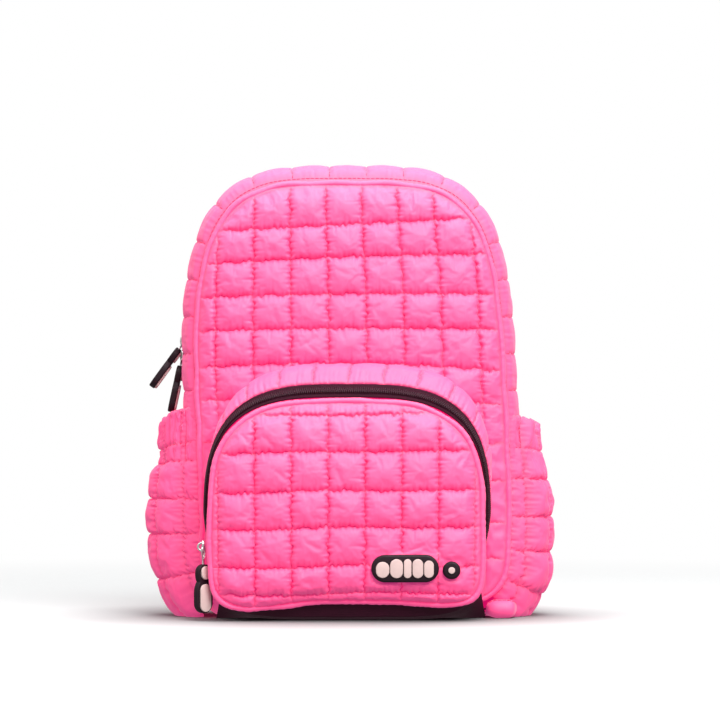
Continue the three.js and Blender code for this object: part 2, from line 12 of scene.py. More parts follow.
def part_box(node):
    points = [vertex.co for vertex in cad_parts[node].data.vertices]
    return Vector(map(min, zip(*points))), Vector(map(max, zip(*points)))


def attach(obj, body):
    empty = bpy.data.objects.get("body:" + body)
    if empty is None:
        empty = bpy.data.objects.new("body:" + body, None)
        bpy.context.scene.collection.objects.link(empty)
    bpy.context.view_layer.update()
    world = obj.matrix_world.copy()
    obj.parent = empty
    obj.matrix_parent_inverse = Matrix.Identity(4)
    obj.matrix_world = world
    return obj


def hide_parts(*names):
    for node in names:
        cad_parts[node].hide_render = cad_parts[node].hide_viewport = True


bl_info = {
    "name": "Quilted mini backpack",
    "version": (1, 0, 0),
    "blender": (4, 5, 0),
    "location": "3D View > Sidebar > Backpack",
    "description": "Makes the padded cloth, trims and straps of a quilted mini backpack",
    "category": "Add Mesh",
}

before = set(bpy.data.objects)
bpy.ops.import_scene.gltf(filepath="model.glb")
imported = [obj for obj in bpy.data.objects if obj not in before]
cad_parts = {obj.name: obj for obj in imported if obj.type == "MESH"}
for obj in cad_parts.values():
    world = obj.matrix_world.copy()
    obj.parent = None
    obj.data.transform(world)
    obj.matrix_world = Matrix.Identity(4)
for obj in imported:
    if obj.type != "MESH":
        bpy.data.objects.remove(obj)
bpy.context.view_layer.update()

# Sizes of the solids in millimetres; y is 0 at the front seam and grows to the back
MM = 0.001
CLEARANCE = 0.3
BODY_DEPTH = 80.0
GUSSET_BULGE = 9.0
BASE_BULGE = 4.5
BASE_HALF_LENGTH = 84.0
LOBE_HEIGHT = 2.6
LOBE_LENGTH = 24.0
SLUMP_SHIFT, SLUMP_LOW, SLUMP_HIGH = 5.0, 60.0, 220.0
TUCK_LOW, TUCK_HIGH = 20.0, 75.0
TAPE_RECESS, COIL_RADIUS = 2.5, 1.5
COIL_START = 0.09
PANEL_DOME, FACE_DOME, DOME_FULLNESS = 7.0, 8.0, 2.5
FACE_FRONT = -35.0
POCKET_ARCH_START = 0.155
RING_WAIST, RING_POWERS = 60, (3.2, 6)
# Rings of the front pocket: depth, half width, top, bottom, side shift, lift and tuck
RING_SIZES = {
    "panel": (2.5, 93, 163, 15, 4, 0, 8),
    "floor": (4.6, 96, 163, 0, 2, 0, 4),
    "crest": (-14, 95.5, 167.6, 0, 2, 0, 9),
    "roll_edge": (-25, 94, 155, 0, -0.5, 0, 9),
    "tape_inner": (-25.4, 93.6, 154.6, 0.4, -0.5, 0, 9),
    "tape_outer": (-30.2, 91.6, 146.6, 3, -1.3, 5, 6),
    "piping": (-33, 89.2, 143.8, 6, -1.3, 5, 0),
}
PIPING_LOW, PIPING_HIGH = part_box("pocket_piping")
SHIFT = np.array(
    [
        (PIPING_LOW.x + PIPING_HIGH.x) / 2 / MM - RING_SIZES["piping"][4],
        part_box("back_panel")[1].y / MM - BODY_DEPTH,
        0.0,
    ]
)

# Steps, limits and counts of the making, lengths in millimetres
ON_LINE = 1e-6
PATH_STEP = 0.8
STITCH_RISE = 0.15
STRAY_SCALE, STRAY_FADE = 1.35, 2.0
# Width over which painted shade darkens the quilted cloth beside a seam
SEAM_SHADE_WIDTH = 0.85
CRUMPLE, CRUMPLE_LENGTH = 0.15, 13.0
CELL_FILL, SMALL_CELL = (0.84, 1.16), 9
FOLD_COUNT, FOLD_SPREAD, FOLD_DEPTH = 3, 9, (-0.6, 0.3)
FOLD_WIDTH, FOLD_LENGTH = 2.0, 5.5
DRAWS = 4096
SHARP_ANGLE = 50
FILL_FRAMES, FILL_LIMIT = 14, 12.0
BAND_PRESSURE, SIDE_PRESSURE = 0.15, 0.5
PANEL_SOFTNESS, STRAP_SOFTNESS = 0.7, 0.6
CLOTH = {
    "quality": 4, "mass": 0.15, "tension_stiffness": 15, "compression_stiffness": 15,
    "shear_stiffness": 7.5, "bending_stiffness": 0.2, "air_damping": 1, "use_pressure": True,
    "vertex_group_mass": "sewn",
}


# Shapes shared by the pieces


def smooth_step(value, low, high):
    part = np.clip((value - low) / (high - low), 0, 1)
    return part * part * (3 - 2 * part)


def unit(vectors):
    return vectors / np.linalg.norm(vectors, axis=-1, keepdims=True)


def square_to(ahead, out):
    """The part of out that is square to ahead, made 1 long."""
    return unit(out - ahead * np.sum(out * ahead, -1, keepdims=True))


def walk_along(path):
    """Length from the start of a path to each of its points."""
    return np.concatenate([[0], np.cumsum(np.linalg.norm(np.diff(path, axis=0), axis=1))])


def waves(seed, length, *axes):
    """A smooth random field about 1 high, with folds of about the given length."""
    draw = np.random.default_rng(seed)
    field = 0
    for _ in range(7):
        turn = draw.normal(size=len(axes))
        turn /= np.linalg.norm(turn)
        scale = length * draw.uniform(0.75, 1.4)
        along = sum(part * axis for part, axis in zip(turn, axes))
        field = field + np.sin(2 * np.pi * (along / scale + draw.uniform()))
    return field / 2.6


def bottom_wave(across):
    """Rise and fall of the pocket's lower edge from its left end, -1, to its right end, 1."""
    places = (-1, -0.92, -0.72, -0.3, 0.1, 0.5, 0.88, 1)
    return np.interp(across, places, (0, 0, -0.4, 0.35, 0.45, 0.4, 0.28, 0))


class Outline:
    """A superellipse with its own power above and below the waist.

    It is walked by its length, from 0 at the bottom centre up the right side to 1."""

    def __init__(self, half_width, waist, top, bottom, top_power, bottom_power, shift=0.0,
                 lift=0.0, tuck=0.0, inset=0.0):
        angle = np.linspace(-np.pi / 2, 1.5 * np.pi, 1441)
        sine, cosine = np.sin(angle), np.cos(angle)
        power = 2 / np.where(sine >= 0, top_power, bottom_power)
        tall = np.where(sine >= 0, top - waist, waist - bottom) - inset
        across = np.sign(cosine) * np.abs(cosine) ** power
        up = np.sign(sine) * np.abs(sine) ** power
        z = waist + tall * up
        tucked = tuck * (1 - smooth_step(z, TUCK_LOW, TUCK_HIGH))
        raised = lift * (1 - across**2 + bottom_wave(across)) * np.maximum(0, -up) ** 6
        self.x = shift + (half_width - inset - tucked) * across
        self.z = z + raised
        steps = np.hypot(np.diff(self.x), np.diff(self.z))
        self.walk = np.concatenate([[0], np.cumsum(steps)])
        self.total = self.walk[-1]
        self.middle = shift, waist
        self.turn = np.unwrap(np.arctan2(self.z - waist, self.x - shift))
        self.reach = np.hypot(self.x - shift, self.z - waist)

    def point(self, s):
        want = np.mod(s, 1.0) * self.total
        return np.interp(want, self.walk, self.x), np.interp(want, self.walk, self.z)

    def at(self, s):
        """Place and outward direction."""
        step = 0.004
        before_x, before_z = self.point(s - step)
        after_x, after_z = self.point(s + step)
        length = np.hypot(after_x - before_x, after_z - before_z)
        x, z = self.point(s)
        return x, z, (after_z - before_z) / length, (before_x - after_x) / length

    def right_at(self, height):
        """How far along the right side is at a height."""
        half = len(self.z) // 2
        return np.interp(height, self.z[:half], self.walk[:half]) / self.total

    def polar(self, x, z):
        """Distance from the middle, and the outline's own distance in that direction."""
        x, z = x - self.middle[0], z - self.middle[1]
        turn = np.mod(np.arctan2(z, x) + np.pi / 2, 2 * np.pi) - np.pi / 2
        return np.hypot(x, z), np.interp(turn, self.turn, self.reach)


SEAM_SHAPE = {
    "half_width": 102, "waist": 110, "top": 289, "bottom": 8, "top_power": 4, "bottom_power": 7,
}
SEAM = Outline(**SEAM_SHAPE)
ARCH_START = BASE_HALF_LENGTH / SEAM.total


def pocket_ring(name, inset=0.0):
    depth, half_width, top, bottom, shift, lift, tuck = RING_SIZES[name]
    line = Outline(half_width, RING_WAIST, top, bottom, *RING_POWERS, shift, lift, tuck, inset)
    line.depth = depth
    return line


RINGS = {name: pocket_ring(name) for name in RING_SIZES}


def ring_point(name, s):
    x, z = RINGS[name].point(s)
    return stack(x, RINGS[name].depth, z)


def lean_at(z):
    return SLUMP_SHIFT * (1 - smooth_step(z, SLUMP_LOW, SLUMP_HIGH))


def settle(points):
    """The bag leans a little to the right as it settles on its base."""
    points = np.array(points, float)
    points[..., 0] += lean_at(points[..., 2])
    return points


def stack(x, y, z):
    return np.stack(np.broadcast_arrays(x, y, z), -1).astype(float)


def gusset_point(s, depth, height):
    """A point of the gusset: s runs round the seam, depth to the back, height out of the cloth."""
    x, z, nx, nz = SEAM.at(s)
    across = 1 - np.abs(1 - 2 * depth / BODY_DEPTH) ** 3
    bulge = GUSSET_BULGE + BASE_BULGE * np.maximum(0, -nz) ** 2
    reach = bulge * across + height
    lowest = np.maximum(0, -height)
    return settle(stack(x + nx * reach, depth, np.maximum(z + nz * reach, lowest)))


def lobe_at(depth):
    return LOBE_HEIGHT * (1 - np.abs(1 - 2 * depth / BODY_DEPTH) ** 4)


def lobe_lines(length):
    """The seams between the lobes of a padded band."""
    return np.linspace(0, length, round(length / LOBE_LENGTH) + 1)


def dome_at(x, z, dome, half_width, top, bottom):
    middle = (top + bottom) / 2
    across = np.minimum(1, np.abs(x / half_width))
    up = np.minimum(1, np.abs((z - middle) / (top - middle)))
    return dome * (1 - across**DOME_FULLNESS) * (1 - up**DOME_FULLNESS)


def panel_dome(x, z):
    shape = (SEAM_SHAPE[part] for part in ("half_width", "top", "bottom"))
    return dome_at(x, z, PANEL_DOME, *shape)


def to_frame(points):
    return (np.asarray(points) + SHIFT) * MM


# Meshes


def read_points(mesh):
    points = np.empty(3 * len(mesh.vertices), np.float32)
    mesh.vertices.foreach_get("co", points)
    return points.reshape(-1, 3).astype(float)


def write_points(mesh, points):
    mesh.vertices.foreach_set("co", np.asarray(points, np.float32).ravel())
    mesh.update()


def open_mesh(*meshes):
    bm = bmesh.new()
    for mesh in meshes:
        bm.from_mesh(mesh)
    return bm


def save_mesh(bm, mesh):
    bm.to_mesh(mesh)
    bm.free()
    return mesh


def to_mesh(bm, name):
    return save_mesh(bm, bpy.data.meshes.new(name))


def join(*meshes):
    """One shape made of several meshes, which are used up."""
    bm = open_mesh(*meshes)
    for mesh in meshes:
        bpy.data.meshes.remove(mesh)
    return bm


def border_edges(bm):
    return [edge for edge in bm.edges if edge.is_boundary]


def add_object(name, mesh):
    """A new object; a piece that stands for a solid has the solid's name with dressed after it."""
    piece = bpy.data.objects.new(f"{name}_dressed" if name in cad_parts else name, mesh)
    bpy.context.scene.collection.objects.link(piece)
    return piece


def grid_mesh(name, columns, rows):
    """A flat grid and the column and row of each of its points."""
    bm = bmesh.new()
    bmesh.ops.create_grid(bm, x_segments=columns, y_segments=rows, size=0.5)
    mesh = to_mesh(bm, name)
    places = read_points(mesh)
    column = np.rint((places[:, 0] + 0.5) * columns).astype(int)
    row = np.rint((places[:, 1] + 0.5) * rows).astype(int)
    return mesh, column, row


def sheet(name, a_values, b_values):
    """A grid of cloth, and the lengths along its two sides at each of its points."""
    mesh, column, row = grid_mesh(name, len(a_values) - 1, len(b_values) - 1)
    return mesh, a_values[column], b_values[row]


def at_ends(values):
    return (values == values.min()) | (values == values.max())


def lay_cloth_map(mesh, a, b):
    """Writes lengths along the cloth, in millimetres, into the cloth map in metres."""
    corners = np.empty(len(mesh.loops), np.int32)
    mesh.loops.foreach_get("vertex_index", corners)
    layer = mesh.uv_layers.new(name="cloth")
    lengths = np.stack([a[corners], b[corners]], -1) * MM
    layer.data.foreach_set("uv", lengths.astype(np.float32).ravel())


def write_mark(mesh, name, values):
    """Writes one number at each point."""
    layer = mesh.attributes.new(name, "FLOAT", "POINT")
    layer.data.foreach_set("value", np.asarray(values, np.float32))


def shape_sheet(mesh, points, a, b, seam=None):
    """Puts a sheet's points in place, with its cloth map and, as its seam mark, how much painted
    shade each point gets close to a seam.
    """
    write_points(mesh, to_frame(points))
    lay_cloth_map(mesh, a, b)
    if seam is not None:
        write_mark(mesh, "seam", seam)


def tube(name, path, out, radius, sides, closed=False):
    """A rod of round section along a path in millimetres; out is the way to its first side."""
    path = np.asarray(path, float)
    radius = np.broadcast_to(radius, len(path))
    ahead = np.gradient(path, axis=0)
    if closed:
        ahead = np.roll(path, -1, 0) - np.roll(path, 1, 0)
        rows = path, out, radius, ahead
        path, out, radius, ahead = (np.concatenate([row, row[:1]]) for row in rows)
    ahead = unit(ahead)
    out = square_to(ahead, out)
    side = np.cross(ahead, out)
    mesh, column, row = grid_mesh(name, len(path) - 1, sides)
    turn = 2 * np.pi * row / sides
    spread = np.cos(turn)[:, None] * out[column] + np.sin(turn)[:, None] * side[column]
    points = path[column] + radius[column, None] * spread
    shape_sheet(mesh, points, walk_along(path)[column], turn * np.mean(radius))
    return close_mesh(mesh)


def close_mesh(mesh):
    """Joins the seams of a wrapped grid, fills its ends and turns its faces outwards."""
    bm = open_mesh(mesh)
    bmesh.ops.remove_doubles(bm, verts=bm.verts, dist=1e-7)
    border = border_edges(bm)
    if border:
        bmesh.ops.holes_fill(bm, edges=border, sides=0)
    bmesh.ops.recalc_face_normals(bm, faces=bm.faces)
    return save_mesh(bm, mesh)


def repeat(name, shape, matrices):
    """Copies of a small shape in metres, each placed by its own matrix."""
    mesh = to_mesh(open_mesh(*[shape] * len(matrices)), name)
    turned = np.einsum("nij,kj->nki", matrices[:, :3, :3], read_points(shape))
    write_points(mesh, (turned + matrices[:, None, :3, 3]).reshape(-1, 3))
    return mesh


def bead(length, radius, sides, rounds):
    """A short thread or tooth with round ends, along Z, in millimetres."""
    bm = bmesh.new()
    bmesh.ops.create_uvsphere(bm, u_segments=sides, v_segments=rounds, radius=radius * MM)
    half = (length / 2 - radius) * MM
    for vert in bm.verts:
        if abs(vert.co.z) > 1e-9:
            vert.co.z += math.copysign(half, vert.co.z)
    return to_mesh(bm, "bead")


def frames(points, ahead, out):
    """Matrices that put a shape's Z along ahead and its X near out, at points in millimetres."""
    ahead = unit(ahead)
    out = square_to(ahead, out)
    matrices = np.zeros((len(points), 4, 4))
    for column, way in enumerate((out, np.cross(ahead, out), ahead, to_frame(points))):
        matrices[:, :3, column] = way
    matrices[:, 3, 3] = 1
    return matrices


def along_path(path, pitch, start=0.0):
    """Places at an even pitch along a path: how far along the path's own points each is."""
    walk = walk_along(path)
    return np.interp(np.arange(start, walk[-1], pitch), walk, np.arange(len(path)))


def sample(values, places):
    low = np.clip(np.floor(places).astype(int), 0, len(values) - 2)
    part = (places - low)[:, None]
    return values[low] * (1 - part) + values[low + 1] * part


# Sewing: sheets of cloth with their seams held, filled together in one simulation

SEWN = []
STITCHES = {}


def size(name):
    """One of the sizes in the settings, in millimetres."""
    return getattr(bpy.context.scene.backpack_sizes, name) / MM


def spread_lines(lines, step):
    """Lengths at about an even step that meet every sewn line."""
    parts = [
        np.linspace(low, high, max(2, round((high - low) / step)) + 1)[:-1]
        for low, high in zip(lines[:-1], lines[1:])
    ]
    return np.concatenate([*parts, [lines[-1]]])


def quilt_cells(values, lines):
    """Distance to the nearest sewn line, half the cell, and the cell's and line's numbers."""
    lines = np.asarray(lines, float)
    cell = np.clip(np.searchsorted(lines, values, side="right") - 1, 0, len(lines) - 2)
    low, high = lines[cell], lines[cell + 1]
    near_low = values - low <= high - values
    distance = np.where(near_low, values - low, high - values)
    return distance, (high - low) / 2, cell, cell + ~near_low


def swell(distance, half, power=1.0):
    """Rise of a filled cell from its seam: 0 at the seam and 1 in the middle of the cell."""
    return np.sin(np.pi / 2 * np.clip(distance / half, 0, 1)) ** power


def tension_folds(a, b, cells, seed):
    """A few slanting folds in each cell, drawn by its number; a and b are 0 at its middle."""
    draw = np.random.default_rng(seed)
    folds = 0
    for _ in range(FOLD_COUNT):
        turn = draw.uniform(0, np.pi, DRAWS)[cells]
        off_a, off_b = draw.uniform(-FOLD_SPREAD, FOLD_SPREAD, (2, DRAWS))[:, cells]
        depth = draw.uniform(*FOLD_DEPTH, DRAWS)[cells]
        along = (a - off_a) * np.cos(turn) + (b - off_b) * np.sin(turn)
        aside = (b - off_b) * np.cos(turn) - (a - off_a) * np.sin(turn)
        across, ahead = (aside / FOLD_WIDTH) ** 2, (along / FOLD_LENGTH) ** 2
        folds = folds + depth * np.exp(-across) * np.exp(-ahead)
    return folds


def puckers(seed, along, line, cell, distance, length):
    """Gathers along a seam: how sharply the cloth lifts between stitches, and the folds there."""
    starts = np.random.default_rng(seed).uniform(0, 1, DRAWS)[line]
    drift = 0.3 * waves(seed + 1, 5 * length, along + 61.0 * line)
    lift = np.abs(np.sin(np.pi * (along / length + starts + drift))) ** 0.8
    uneven = waves(seed + 2, 8.0, along + 97.0 * (line + 3 * cell))
    reach = 0.805 + 1.035 * np.clip(uneven, 0, 1.6)
    fade = np.exp(-distance / reach) * (1 - np.exp(-distance / 0.5))
    folds = (1 - lift) * (1.35 + 0.6 * uneven) * fade
    return 1 - np.exp(-distance / (0.4 + 0.8 * (1 - lift))), folds


def stray(seed, along, line, distance, gaps):
    """How far a seam wanders, in short and long waves of its own, fading away from the seam."""
    length = size("pucker_length")
    short = waves(seed, 1.3 * length, along + gaps[0] * line)
    long = waves(seed + 3, 4 * length, along + gaps[1] * line)
    return STRAY_SCALE * size("wander") * np.exp(-distance / STRAY_FADE) * (short + long)


class Quilt:
    """Heights, side shifts and held points of a sheet that is sewn along lines both ways."""

    def __init__(self, a, b, lines_a, lines_b, seed, puff=None, steep=1.7, rucked=1.0):
        puff = size("puff") if puff is None else puff
        length = size("pucker_length")
        lines_a, lines_b = np.asarray(lines_a, float), np.asarray(lines_b, float)
        da, half_a, cell_a, line_a = quilt_cells(a, lines_a)
        db, half_b, cell_b, line_b = quilt_cells(b, lines_b)
        draw = np.random.default_rng(seed)
        full = draw.uniform(*CELL_FILL, (len(lines_a), len(lines_b)))[cell_a, cell_b]
        full = full * np.minimum(1, np.minimum(half_a, half_b) / SMALL_CELL)
        rise = swell(da, half_a, 0.32) * swell(db, half_b, 0.38)
        wall_a, folds_a = puckers(seed + 10, b, line_a, cell_a, da, length)
        wall_b, folds_b = puckers(seed + 20, a, line_b, cell_b, db, length)
        folds = folds_a * swell(db, half_b, 0.4) + folds_b * swell(da, half_a, 0.4)
        crumple = waves(seed + 3, CRUMPLE_LENGTH, a + 50.0 * cell_a, b + 70.0 * cell_b)
        from_a, from_b = a - lines_a[cell_a] - half_a, b - lines_b[cell_b] - half_b
        creases = tension_folds(from_a, from_b, cell_a * 64 + cell_b, seed + 6)
        self.height = full * (puff * rise + steep * wall_a * wall_b)
        self.height += rucked * (rise * (CRUMPLE * crumple + creases) - size("pucker") * folds)
        self.shift_a = stray(seed + 4, b, line_a, da, (47.0, 59.0))
        self.shift_b = stray(seed + 5, a, line_b, db, (53.0, 67.0))
        self.held = (da < ON_LINE) | (db < ON_LINE)
        # Painted shade: the deeper seam colour, strongest on the sewn lines and fading into the
        # cells
        self.seam_shade = np.exp(-np.minimum(da, db) / SEAM_SHADE_WIDTH)


def sew(name, mesh, held, pressure=1.0):
    """Makes the sheet an object, with its seams held and its cloth ready to fill."""
    SEWN.append((name, add_object(name, mesh), np.asarray(held), pressure))


def fill_sewn(pieces):
    """Blows up all the sewn sheets at once between their held seams."""
    scene = bpy.context.scene
    sizes = scene.backpack_sizes
    for _, piece, held, pressure in pieces:
        group = piece.vertex_groups.new(name=CLOTH["vertex_group_mass"])
        group.add(np.flatnonzero(held).tolist(), 1.0, "REPLACE")
        cloth = piece.modifiers.new("padding", "CLOTH")
        for name, value in CLOTH.items():
            setattr(cloth.settings, name, value)
        cloth.settings.uniform_pressure_force = -sizes.pressure * pressure
        cloth.settings.shrink_min = -sizes.fullness * pressure
        cloth.settings.shrink_max = -sizes.fullness * pressure
        cloth.settings.effector_weights.gravity = 0
        cloth.collision_settings.use_collision = False
        cloth.point_cache.frame_start = 1
        cloth.point_cache.frame_end = FILL_FRAMES
    for step in range(1, FILL_FRAMES + 1):
        scene.frame_set(step)
    graph = bpy.context.evaluated_depsgraph_get()
    filled = [bpy.data.meshes.new_from_object(row[1].evaluated_get(graph)) for row in pieces]
    for (_, piece, _, _), mesh in zip(pieces, filled):
        moved = np.linalg.norm(read_points(mesh) - read_points(piece.data), axis=1).max() / MM
        if not moved < FILL_LIMIT:
            raise RuntimeError(f"{piece.name} came apart in the filling: {moved:.1f} mm")
        piece.modifiers.clear()
        piece.vertex_groups.clear()
        mesh.name = piece.name
        piece.data = mesh
    scene.frame_set(1)


def stagger(number, step=0.5):
    """Start of a row of stitches, so that rows side by side don't line up."""
    return step * number % 3


def stitch_row(group, path, out, start=0.0):
    """Notes a row of stitches along a path in millimetres for the thread of that group."""
    path = np.asarray(path, float)
    out = np.broadcast_to(np.asarray(out, float), path.shape)
    STITCHES.setdefault(group, []).append((path, out, start))


def trim(mesh, line, border_depth):
    """Cuts a flat panel to an outline and marks its border, which drops to a depth."""
    bm = open_mesh(mesh)
    bm.verts.ensure_lookup_table()
    points = read_points(mesh)
    reach, limit = line.polar(points[:, 0], points[:, 2])
    outside = [bm.verts[i] for i in np.flatnonzero(reach > limit)]
    bmesh.ops.delete(bm, geom=outside, context="VERTS")
    loose = [vert for vert in bm.verts if not vert.link_faces]
    bmesh.ops.delete(bm, geom=loose, context="VERTS")
    bm.verts.index_update()
    border = np.array([vert.is_boundary for vert in bm.verts])
    points = read_points(save_mesh(bm, mesh))
    reach, limit = line.polar(points[:, 0], points[:, 2])
    stretch = np.where(border, limit / reach, 1.0)
    for axis, middle in zip((0, 2), line.middle):
        points[:, axis] = middle + (points[:, axis] - middle) * stretch
    points[:, 1] = np.where(border, border_depth, points[:, 1])
    write_points(mesh, points)
    return border


def sew_panel(name, across, up, quilt_lines, lay, line, border_depth, place, seed, puff=None):
    """Sews a flat quilted panel cut to an outline; across and up are the lengths of its points."""
    mesh, a, b = sheet(name, across, up)
    quilt = Quilt(a, b, *quilt_lines, seed, puff)
    lay_cloth_map(mesh, a, b)
    points = lay(a, b, quilt.height, quilt.shift_a, quilt.shift_b)
    reach, limit = line.polar(points[:, 0], points[:, 2])
    # Painted shade: the seam mark also darkens the border, in the groove beside the piping
    edge = np.exp(-np.maximum(0, limit - reach - 1.2) / 0.7)
    write_mark(mesh, "held", quilt.held)
    write_mark(mesh, "seam", np.maximum(quilt.seam_shade, edge))
    write_points(mesh, points)
    border = trim(mesh, line, border_depth)
    held = np.empty(len(mesh.vertices), np.float32)
    mesh.attributes["held"].data.foreach_get("value", held)
    mesh.attributes.remove(mesh.attributes["held"])
    write_points(mesh, to_frame(place(read_points(mesh))))
    sew(name, mesh, border | (held > 0.5))


def stitch_panel(group, lay, columns, rows, span, rise, line, place, out):
    """Notes the stitches along a panel's lines, inside an outline."""
    ups, widths = np.arange(*rise, PATH_STEP), np.arange(*span, PATH_STEP)
    paths = [lay(np.full_like(ups, x), ups) for x in columns]
    paths += [lay(widths, np.full_like(widths, z)) for z in rows]
    for number, path in enumerate(paths):
        reach, limit = line.polar(path[:, 0], path[:, 2])
        path = path[reach < limit]
        if len(path) > 4:
            stitch_row(group, place(path), out, stagger(number, 0.37))


def close_back(piece, depth):
    """Gives a filled panel a flat lining at a depth in millimetres."""
    bm = open_mesh(piece.data)
    made = bmesh.ops.extrude_edge_only(bm, edges=border_edges(bm))
    flat = to_frame([0, depth, 0])[1]
    for vert in made["geom"]:
        if isinstance(vert, bmesh.types.BMVert):
            vert.co.y = flat
    bmesh.ops.contextual_create(bm, geom=border_edges(bm))
    bmesh.ops.recalc_face_normals(bm, faces=bm.faces)
    save_mesh(bm, piece.data)


def thicken(piece, thickness):
    """Gives a sheet an inner side, in millimetres."""
    wall = piece.modifiers.new("lining", "SOLIDIFY")
    wall.thickness = thickness * MM
    wall.offset = -1
    return piece


def dress(piece, finish, *nodes, fill=None):
    """Dresses a piece in its finish and hides the solids it stands for."""
    piece.data.materials.clear()
    piece.data.materials.append(FINISHES[finish])
    piece.data.polygons.foreach_set("use_smooth", [True] * len(piece.data.polygons))
    piece.data.update()
    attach(piece, "root")
    if nodes:
        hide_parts(*nodes)
    return piece


def add_piece(name, mesh, finish, wall=0.0, fill=None):
    """Adds a piece that stands for the solid of its name; wall is the thickness of a sheet."""
    piece = add_object(name, mesh)
    if wall:
        thicken(piece, wall)
    return dress(piece, finish, name, fill=fill)


def add_hard(name, bm, finish, angle=SHARP_ANGLE):
    """Adds a moulded or metal piece, with the edges sharper than an angle kept sharp."""
    piece = add_piece(name, to_mesh(bm, name), finish)
    piece.data.set_sharp_from_angle(angle=math.radians(angle))


# Finishes

FINISHES = {}


class Nodes:
    """A node tree being put together."""

    def __init__(self, tree):
        self.tree = tree

    def feed(self, socket, value):
        """Links a socket to another one, or sets its value or colour."""
        if isinstance(value, bpy.types.NodeSocket):
            self.tree.links.new(value, socket)
        else:
            colour = isinstance(value, tuple) and len(value) == 3
            socket.default_value = (*value, 1) if colour else value

    def node(self, kind, settings=None, **inputs):
        """A new node; an input is called by its name, or by its number after a low line."""
        node = self.tree.nodes.new("ShaderNode" + kind)
        for name, value in (settings or {}).items():
            setattr(node, name, value)
        for name, value in inputs.items():
            key = int(name[1:]) if name[0] == "_" else name.replace("_", " ").title()
            self.feed(node.inputs[key], value)
        return node


class Finish(Nodes):
    """A material being put together from nodes."""

    def __init__(self, name):
        material = FINISHES[name] = bpy.data.materials.new(name)
        material.use_nodes = True
        super().__init__(material.node_tree)
        self.shader = self.tree.nodes["Principled BSDF"]
        self.place = self.node("TexCoord").outputs["Object"]

    def set(self, **sockets):
        for socket, value in sockets.items():
            name = socket.replace("_", " ").title().replace("Ior", "IOR")
            self.feed(self.shader.inputs[name], value)

    def cloth_place(self):
        return self.node("UVMap", {"uv_map": "cloth"}).outputs["UV"]

    def noise(self, scale, detail):
        node = self.node("TexNoise", vector=self.place, scale=scale, detail=detail)
        return node.outputs["Fac"]

    def bands(self, place, direction, thread):
        """Threads side by side; thread is their spacing in metres."""
        settings = {"wave_type": "BANDS", "bands_direction": direction, "wave_profile": "SIN"}
        node = self.node("TexWave", settings, vector=place, scale=2 * math.pi / 20 / thread)
        return node.outputs["Fac"]

    def math(self, operation, first, second):
        return self.node("Math", {"operation": operation}, _0=first, _1=second).outputs[0]

    def remap(self, value, low, high):
        return self.node("MapRange", value=value, to_min=low, to_max=high).outputs[0]

    def mix(self, factor, first, second):
        node = self.node("Mix", {"data_type": "RGBA"}, factor=factor, _6=first, _7=second)
        return node.outputs[2]

    def bump(self, height, strength, distance, **below):
        node = self.node("Bump", strength=strength, distance=distance, height=height, **below)
        return node.outputs["Normal"]


def shade(colour, factor):
    return tuple(min(1.0, part * factor) for part in colour)


def make_nylon(name, colour, seam_shade_colour, mapped, thread=0.00045, gloss_and_glow=1.0):
    """Satin nylon with a fine weave, a painted glow in its fluorescent colour, and painted shade in
    a deeper tone close to its seams.
    """
    finish = Finish(name)
    cloth = finish.place
    tone = finish.mix(finish.noise(45, 3), shade(colour, 0.94), shade(colour, 1.05))
    if mapped:
        # Painted shade: the seam mark mixes in the deeper colour where the cloth dips into its
        # seams and grooves
        seam = finish.node("Attribute", {"attribute_name": "seam"}).outputs["Fac"]
        tone = finish.mix(seam, tone, seam_shade_colour)
        cloth = finish.cloth_place()
    across, along = (finish.bands(cloth, way, thread) for way in "XY")
    creases = finish.bump(finish.noise(420, 4), 0.08, 0.0005)
    weave = finish.bump(finish.math("MULTIPLY", across, along), 0.1, 0.00012, normal=creases)
    rough = finish.remap(finish.noise(160, 3), 0.73, 0.81)
    painted_glow = tuple(bpy.context.scene.backpack_colours.painted_glow)
    finish.set(base_color=tone, normal=weave, roughness=rough)
    finish.set(sheen_weight=0.15, sheen_roughness=0.5, sheen_tint=(1.0, 0.85, 0.92))
    finish.set(specular_ior_level=gloss_and_glow, ior=1.85, specular_tint=(1.0, 1.0, 0.86))
    # Painted glow: a constant emission in the glow colour, scaled with the gloss, stands in for the
    # fluorescent colour and lifts the shaded parts
    finish.set(emission_color=painted_glow, emission_strength=0.22 * gloss_and_glow)


def make_black_cloth(name, colour, thread, depth, rough):
    """Black woven cloth, tape or webbing."""
    finish = Finish(name)
    cloth = finish.cloth_place()
    across, along = finish.bands(cloth, "X", thread), finish.bands(cloth, "Y", thread * 1.6)
    weave = finish.math("ADD", across, along)
    dust = finish.noise(90, 4)
    tone = finish.mix(dust, shade(colour, 0.75), shade(colour, 1.5))
    tone = finish.mix(finish.math("MULTIPLY", weave, 0.15), tone, shade(colour, 1.8))
    finish.set(base_color=tone, normal=finish.bump(weave, 0.5, depth), specular_ior_level=0.12)
    finish.set(roughness=finish.remap(dust, rough - 0.08, rough + 0.08))


def make_moulded(name, colour, rough, grain, coat=0.0):
    """Moulded rubber or plastic with a fine grain and a little uneven gloss."""
    finish = Finish(name)
    tone = finish.mix(finish.noise(220, 3), shade(colour, 0.9), shade(colour, 1.12))
    finish.set(base_color=tone, normal=finish.bump(finish.noise(2600, 2), grain, 0.0001))
    finish.set(roughness=finish.remap(finish.noise(350, 3), rough - 0.07, rough + 0.07))
    finish.set(coat_weight=coat, coat_roughness=0.25, specular_ior_level=0.2)


def make_metal(name, colour):
    """Pale plated metal with fine rubbing marks."""
    finish = Finish(name)
    marks = finish.noise(900, 5)
    finish.set(base_color=finish.mix(marks, shade(colour, 0.86), colour), metallic=1.0)
    finish.set(roughness=finish.remap(marks, 0.2, 0.38), normal=finish.bump(marks, 0.05, 0.0001))


